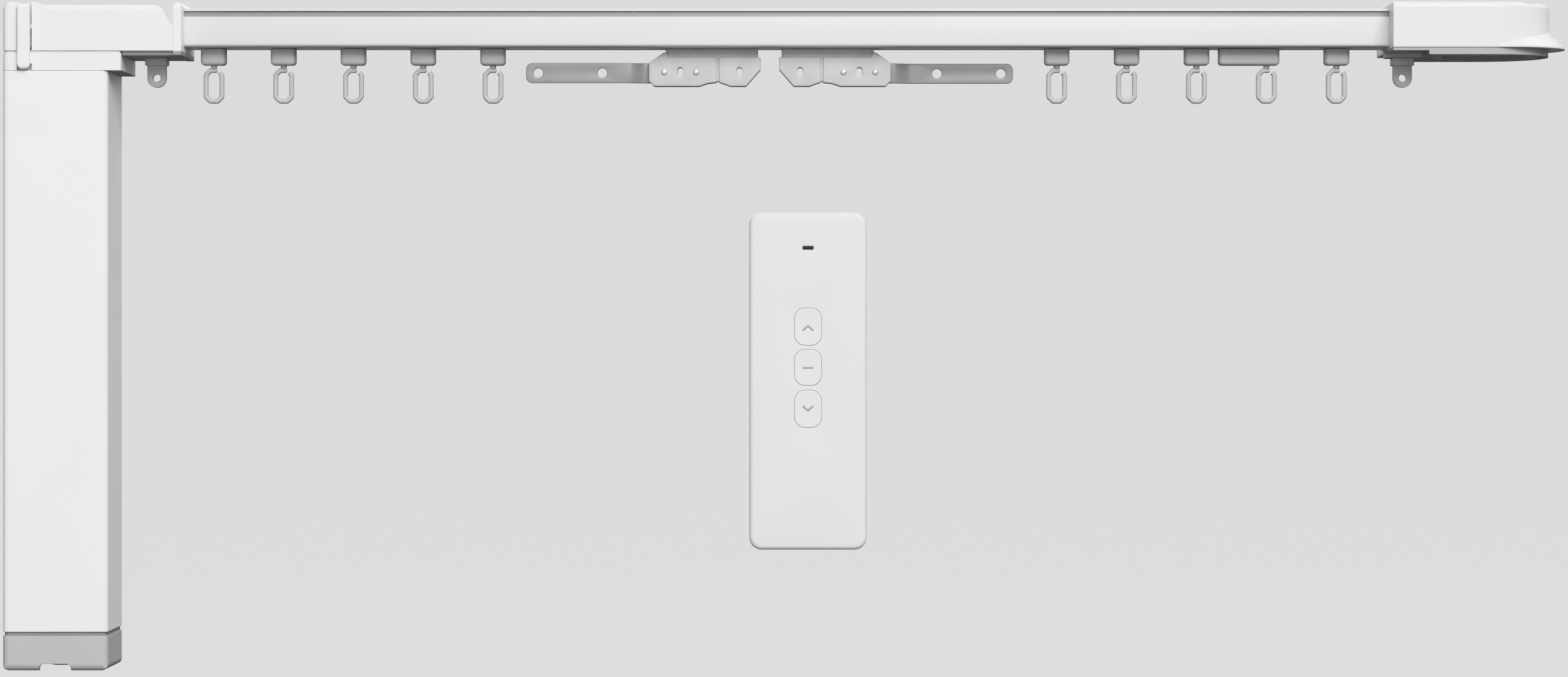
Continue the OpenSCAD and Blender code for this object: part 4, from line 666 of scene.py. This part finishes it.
def carrier_shells():
    """Shells of one carrier with its nose at x = 0 and its arm towards -X: both blocks, the core of the
    groove between them, the neck below and in the rail's slot, and the clip that reaches over the belt."""
    nose = fillet([(NOSE_END, BODY_LOW + 1.9), (-17.6, BODY_LOW + 1.2), (-14.5, BODY_LOW), (-7, BODY_LOW),
                   (0, BODY_LOW + 8), (0, BODY_MID), (NOSE_END, BODY_MID)], 0.6)
    outer = fillet([(-51, BODY_LOW), (-29.5, BODY_LOW), (-25.4, BODY_LOW + 1.4),
                    (OUTER_END, BODY_LOW + 1.9), (OUTER_END, BODY_MID), (-44.5, BODY_MID),
                    (-44.5, BODY_TOP), (-46.5, BODY_TOP), (-BODY_LEN, BODY_MID - 2.8),
                    (-BODY_LEN, BODY_LOW + 2.5)], 0.6)
    slot_near, slot_far = (hole(oval(x, DOT_Z, SLOT_W, SLOT_H)) for x in (SLOT_NEAR_X, SLOT_FAR_X))
    core = rectangle(-24, -17, BODY_LOW + 2.3, BODY_MID - 0.4)
    d = BODY_HALF_D
    return [
        soft_solid([nose, slot_near], -d, d, 0.5, 0.5, facing_room),
        soft_solid([outer, slot_far], -d, d, 0.5, 0.5, facing_room),
        soft_solid([fillet(core, 0.3)], -3.8, 3.8, 0.2, 0.2, facing_room),
        soft_box((-45.5, -3.6, BODY_MID - 1), (-1.2, 3.6, BLOCK_TOP), 0.3, 0.6),
        soft_box((-45.5, -3.1, BLOCK_TOP - 1), (-1.2, 3.1, -7.0), 0.3, 0.6),
        soft_box((-29.2, -BELT_IN + 0.3, -13.7), (-17.2, 0, -7.0), 0.3, 0.6),
        soft_box((-29.2, -BELT_OUT - 0.3, -9.1), (-17.2, 0, -7.0), 0.3, 0.6),
    ]


def placed(shells, side):
    """Shells moved to the carrier's nose: the right ones are turned half round about the upright axis."""
    low, high = box_mm(f"carrier_{side}_body")
    nose_x = high[0] if side == "left" else low[0]
    facing = np.array([1, 1, 1]) if side == "left" else np.array([-1, -1, 1])
    return [(p * facing + (nose_x, 0, 0), q, t) for p, q, t in shells]


for side in SIDES:
    piece(f"carrier_moulding_{side}", placed(carrier_shells(), side), carrier_nylon, f"carrier_{side}",
          "carrier_grey", f"carrier_{side}_body")
print("carrier shells:", len(carrier_shells()))

# %% [markdown]
# The arm is a strip of zinc plated steel with a joggle, so that the two arms can pass each other. It is cut
# flat and then bent: every point moves towards the room by a smooth step along the strip. Points are set
# along both long edges where the bend is, so that the faces can follow it. Two domed rivets hold the strip
# in the nylon body.

# %% Carrier arms
ARM_LOW, ARM_HIGH, ARM_HALF_T = BODY_LOW + 1.6, BODY_LOW + 11.2, 1.0
ARM_IN, ARM_LEN = 28.0, 112.5
JOGGLE_FROM, JOGGLE_RUN, JOGGLE_SHIFT = BODY_LEN + 0.6, 10.0, 3.0
ARM_CORNER, ARM_EDGE = 3.0, 0.25
CURTAIN_HOLES, CURTAIN_HOLE_W = (5.9, 36.6), 4.6
SLOT_ROOM = 1.2
RIVET_X = (-30.9, -46.1)
RIVET_R, RIVET_HEAD_R = 1.1, 1.6


def joggled(p):
    """Flat strip turned to face the room and moved there by JOGGLE_SHIFT times t t (3 - 2 t), where t runs
    from 0 to 1 over the joggle."""
    q = facing_room(p)
    t = np.clip((-q[:, 0] - JOGGLE_FROM) / JOGGLE_RUN, 0, 1)
    return q - np.outer(t * t * (3 - 2 * t), (0, JOGGLE_SHIFT, 0))


def arm_shells(steps=6):
    """Strip with its two curtain holes and the body's slot, for a carrier with its nose at x = 0."""
    ring = fillet(rectangle(-ARM_LEN, -ARM_IN, ARM_LOW, ARM_HIGH), ARM_CORNER, steps)
    along = -np.linspace(JOGGLE_FROM - 1, JOGGLE_FROM + JOGGLE_RUN + 1, 22)
    lower = np.column_stack([along[::-1], np.full(len(along), ARM_LOW)])
    upper = np.column_stack([along, np.full(len(along), ARM_HIGH)])
    outline = np.concatenate([ring[:steps], lower, ring[steps:3 * steps], upper, ring[3 * steps:]])
    middle = (ARM_LOW + ARM_HIGH) / 2
    holes = [hole(oval(x - ARM_LEN, middle, CURTAIN_HOLE_W, CURTAIN_HOLE_W)) for x in CURTAIN_HOLES]
    holes.append(hole(oval(SLOT_FAR_X, DOT_Z, SLOT_W + SLOT_ROOM, SLOT_H + SLOT_ROOM)))
    return [soft_solid([outline] + holes, -ARM_HALF_T, ARM_HALF_T, ARM_EDGE, ARM_EDGE, joggled,
                       rim_edge=0.2)]


def rivet(x):
    """Domed rivet through the body, turned about an axis that faces the room."""
    face = BODY_HALF_D
    profile = np.array([(RIVET_HEAD_R, face), (1.55, face + 0.25), (1.2, face + 0.55), (0.5, face + 0.74)])
    both = np.concatenate([profile[::-1] * (1, -1), [(RIVET_R, -face), (RIVET_R, face)], profile])
    points, quads, triangles = turned_part(both, x, DOT_Z, steps=24)
    return facing_room(points), quads, triangles


for side in SIDES:
    piece(f"arm_strip_{side}", placed(arm_shells(), side), arm_zinc, f"carrier_{side}", "arm_steel",
          f"carrier_{side}_arm")
    piece(f"arm_rivets_{side}", placed([rivet(x) for x in RIVET_X], side), rivet_steel, f"carrier_{side}",
          "arm_steel")
print("arm points:", len(arm_shells()[0][0]))

# %% [markdown]
# ## The end hooks
#
# A small tongue with a hole hangs at each end of the track and holds the outer edge of the curtain. It has
# a block at its root that sits against the end fitting.

# %% End hooks
PAD_Z = -22.7
HOOK_LOW, HOOK_HALF_W, HOOK_HALF_T = PAD_Z - 14.2, 4.6, 1.5
HOOK_HOLE_W, HOOK_REACH = 3.5, 6.0


def hook_shells(x):
    """Tongue, root block and its peg about x: the tongue's lower end is a half circle round its hole."""
    eye_z = HOOK_LOW + HOOK_HALF_W
    bow = np.linspace(np.pi, 2 * np.pi, 20)
    end = np.stack([x + HOOK_HALF_W * np.cos(bow), eye_z + HOOK_HALF_W * np.sin(bow)], -1)
    tongue = np.concatenate([end, [(x + HOOK_HALF_W, PAD_Z - 1), (x - HOOK_HALF_W, PAD_Z - 1)]])
    rim = hole(oval(x, eye_z, HOOK_HOLE_W, HOOK_HOLE_W))
    return [soft_solid([tongue, rim], -HOOK_HALF_T, HOOK_HALF_T, 0.5, 0.5, facing_room, rim_edge=0.4),
            soft_box((x - 5.4, -4, PAD_Z - 3.7), (x + 5.4, 4, PAD_Z), edge=0.5, corner=0.9),
            soft_box((x - 2.5, -1.5, PAD_Z - 1), (x + 2.5, 1.5, PAD_Z + 1.2), edge=0.1, corner=0.3)]


hook_low, hook_high = box_mm("end_hooks")
hook_places = (hook_low[0] + HOOK_REACH, hook_high[0] - HOOK_REACH)
piece("curtain_hooks", hook_shells(hook_places[0]) + hook_shells(hook_places[1]), hook_nylon, "track",
      "hook_grey", "end_hooks")
print("hooks at", np.round(hook_places, 2))

# %% [markdown]
# ## The remote
#
# The remote's front is a shallow white shell with a broad soft edge. Three keys lie flush in it, each a
# little dished for the fingertip. The shell is drawn with holes for the keys and for the indicator.

# %% Remote front
remote_low, remote_high = box_mm("remote_front")
FRONT_Y, PARTING_Y = remote_low[1], remote_high[1]
FRONT_EDGE, PARTING_EDGE, FRONT_CORNER = 2.2, 0.25, 6.0
KEY_GAP, KEY_FLANGE, KEY_CORNER = 0.12, 0.8, 5.0
LENS_HALF_W, LENS_HALF_H, LENS_CORNER = 2.7, 0.95, 0.5


def key_outline(node, grow):
    """Outline of a key's cap, grown by the gap for its opening. The CAD key also has a flange round it."""
    low, high = box_mm(node)
    by = KEY_FLANGE - grow
    corners = rectangle(low[0] + by, high[0] - by, low[2] + by, high[2] - by)
    return fillet(corners, KEY_CORNER + grow, steps=10)


keys = {"up": "button_up", "stop": "button_stop", "down": "button_down"}
lens_mid = np.mean(box_mm("remote_indicator"), axis=0)[[0, 2]]
lens_rim = fillet(rectangle(-LENS_HALF_W, LENS_HALF_W, -LENS_HALF_H, LENS_HALF_H), LENS_CORNER) + lens_mid
front_corners = rectangle(remote_low[0], remote_high[0], remote_low[2], remote_high[2])
front_outline = fillet(front_corners, FRONT_CORNER, steps=12)
front_rims = [front_outline, hole(lens_rim)] + [hole(key_outline(n, KEY_GAP)) for n in keys.values()]
face_shell = soft_solid(front_rims, -PARTING_Y, -FRONT_Y, PARTING_EDGE, FRONT_EDGE, facing_room,
                        rim_edge=0.2, steps=9)
piece("remote_face", [face_shell], remote_shell, "remote", "remote_white", "remote_front")
print("remote face from y", PARTING_Y, "to", FRONT_Y)

# %% [markdown]
# A key's top is a dish: its depth falls off with the square of the distance from the middle. The printed
# signs are thin raised shapes that follow the dish: an arrowhead up, a bar and an arrowhead down.

# %% Keys and their signs
DISH = 0.3
KEY_PROUD = 0.2
TOP_RINGS = 16
SIGN_SUNK, SIGN_T, SIGN_EDGE = 0.05, 0.09, 0.03


def dish_level(x, z, mid, half):
    """Height of the cap's top towards the room: lowest in the middle, by DISH, and level at the rim."""
    share = np.clip(((x - mid[0]) / half[0]) ** 2 + ((z - mid[1]) / half[1]) ** 2, 0, 1)
    return -FRONT_Y + KEY_PROUD - DISH * (1 - share)


def key_shell(node):
    """Wall, soft rim and dished top: rings of the outline drawn towards the middle, then one last fan."""
    outline = key_outline(node, 0)
    mid = outline.mean(0)
    half = np.ptp(outline, axis=0) / 2
    shares = np.concatenate([[1, 1, 0.995, 0.985, 0.97, 0.95], np.linspace(0.9, 0.06, TOP_RINGS)])
    drop = np.concatenate([[3.0, 0.35, 0.16, 0.06, 0.015, 0], np.zeros(TOP_RINGS)])
    flat = mid + shares[:, None, None] * (outline - mid)
    level = dish_level(flat[..., 0], flat[..., 1], mid, half) - drop[:, None]
    points = np.concatenate([flat, level[..., None]], -1).reshape(-1, 3)
    index = np.arange(len(points)).reshape(len(shares), len(outline))
    poles = np.array([[*mid, points[0, 2]], [*mid, dish_level(*mid, mid, half)]])
    shell = facing_room(np.concatenate([points, poles])), ring_quads(index), end_fans(index)
    return shell, mid, half


def sign_outline(kind):
    """Outline of a sign about the origin: an arrowhead of two strokes, or a bar."""
    if kind == "stop":
        return fillet(rectangle(-2.6, 2.6, -0.45, 0.45), 0.44)
    up = np.array([(-2.7, -1.75), (-1.9, -1.85), (0, 0), (1.9, -1.85), (2.7, -1.75), (2.7, -1.1),
                   (0, 1.25), (-2.7, -1.1)], float)
    return fillet(up if kind == "up" else up[::-1] * (1, -1), 0.3)


def sign_shell(kind, mid, half):
    """Thin closed sign whose two faces follow the dish, one sunk in it and the other a little proud."""
    outline = sign_outline(kind) + mid
    points, quads, triangles = soft_solid([outline], 0, SIGN_T, 0, SIGN_EDGE, standing, steps=3)
    level = dish_level(points[:, 0], points[:, 1], mid, half) - SIGN_SUNK + points[:, 2]
    return facing_room(np.column_stack([points[:, :2], level])), quads, triangles


for kind, node in keys.items():
    shell, mid, half = key_shell(node)
    piece(f"key_{kind}_cap", [shell], key_cap, f"key_{kind}", "button_white", node)
    piece(f"key_{kind}_sign", [sign_shell(kind, mid, half)], key_print, f"key_{kind}", "lens_dark")
print("keys:", list(keys))

# %% [markdown]
# ## The stage
#
# The track hangs over a plain pale floor that curves up far away on all sides and closes overhead, like a
# round studio, so every view ends in the same soft tone. It is a turned surface: level inside, then a
# quarter circle, then upright, then a dome. It is only a backdrop: it neither lights the object from below
# nor mirrors in it nor keeps the sky's light out, because the photograph's undersides are dark.

# %% Stage
FLOOR_Z, FLAT_R, BEND_R, WALL_TOP, DOME_RISE = -1.6, 18.0, 5.0, 12.0, 10.0


def sweep_profile(steps=16):
    """Radius and height: flat to FLAT_R, a quarter circle of radius BEND_R, upright to WALL_TOP, then a
    quarter of an ellipse that rises by DOME_RISE to the axis."""
    a = np.linspace(0, np.pi / 2, steps)
    bend = np.stack([FLAT_R + BEND_R * np.sin(a), FLOOR_Z + BEND_R * (1 - np.cos(a))], -1)
    dome = np.stack([(FLAT_R + BEND_R) * np.cos(a[:-1]), WALL_TOP + DOME_RISE * np.sin(a[:-1])], -1)
    return np.concatenate([[(0.02, FLOOR_Z)], bend, dome])


points, quads, triangles = turned_part(sweep_profile(), 0, 0, steps=96)
floor_mesh = bpy.data.meshes.new("floor")
floor_mesh.from_pydata(points.tolist(), [], quads[:, ::-1].tolist() + triangles[:, ::-1].tolist())
floor_mesh.polygons.foreach_set("use_smooth", np.ones(len(floor_mesh.polygons), bool))
floor = bpy.data.objects.new("floor", floor_mesh)
bpy.context.scene.collection.objects.link(floor)
floor.visible_diffuse = False
floor.visible_glossy = False
floor.visible_shadow = False
floor_paper = finish("floor_paper", (0.07, 0.07, 0.07), 0.9, 120, 1e-5, drift=0.01, patch=3,
                     Emission_Color=(1, 1, 1, 1), Emission_Strength=0.68)
floor_mesh.materials.append(floor_paper)
print("floor at", FLOOR_Z)

# %% [markdown]
# ## The light
#
# The photograph has one broad light from the front, above and a little to the right. Faces towards the room
# are bright and even, the motor's inner side is a clear step darker, and the underside of the rail is dark.
# A wide panel gives the main light and lays the rail's soft shadow on the carriers. Two weak panels, one
# from the left and one from low down, soften the far edges, and a small one beside the drum lifts its
# curve. A panel behind the track lights the side towards the wall. The sky fills the rest: bright above,
# middling at eye level and nearly black below, so that undersides stay dark.
#
# The photograph never reaches full white. Its brightest faces stop at a very light grey, so a tone curve
# bends the top of the range in the same way.

# %% Light
SKY_TONES = [(0.0, 0.05), (0.42, 0.06), (0.52, 0.30), (1.0, 0.42)]
KNEE, WHITEST = 0.72, 0.86


def panel(name, place, aim, size, power):
    """Square soft panel of light that looks at a point and isn't seen by the camera."""
    data = bpy.data.lights.new(name, "AREA")
    data.shape, data.size, data.energy = "SQUARE", size, power
    lamp = bpy.data.objects.new(name, data)
    lamp.location = place
    lamp.rotation_euler = (Vector(aim) - Vector(place)).to_track_quat("-Z", "Y").to_euler()
    lamp.visible_camera = False
    bpy.context.scene.collection.objects.link(lamp)


panel("key_panel", (0.7, -2.5, 1.5), (0, 0, -0.1), 1.6, 88)
panel("front_panel", (-0.9, -2.8, 0.3), (0, 0, -0.15), 1.6, 10)
panel("low_panel", (0.1, -2.6, -1.2), (0, 0, -0.15), 1.6, 9)
panel("back_panel", (-0.4, 2.6, 1.2), (0, 0, -0.1), 1.8, 36)
panel("drum_panel", (0.75, 0.1, 0.35), (0.36, 0, 0), 0.4, 1.2)
world = bpy.data.worlds.new("world")
world.use_nodes = True
sky = world.node_tree
direction = add(sky, "ShaderNodeTexCoord")
height = add(sky, "ShaderNodeSeparateXYZ")
share = add(sky, "ShaderNodeMapRange", {"From Min": -1.0, "From Max": 1.0})
tone = add(sky, "ShaderNodeValToRGB")
for _ in SKY_TONES[2:]:
    tone.color_ramp.elements.new(0.5)
for element, (at, level) in zip(tone.color_ramp.elements, SKY_TONES):
    element.position = at
    element.color = (level, level, level, 1)
sky.links.new(direction.outputs["Generated"], height.inputs["Vector"])
sky.links.new(height.outputs["Z"], share.inputs["Value"])
sky.links.new(share.outputs["Result"], tone.inputs["Fac"])
sky.links.new(tone.outputs["Color"], sky.nodes["Background"].inputs["Color"])
bpy.context.scene.world = world
view = bpy.context.scene.view_settings
view.view_transform = "Standard"
view.use_curve_mapping = True
shoulder = view.curve_mapping.curves[3]
shoulder.points.new(KNEE, KNEE)
shoulder.points[-1].location = (1.0, WHITEST)
view.curve_mapping.update()
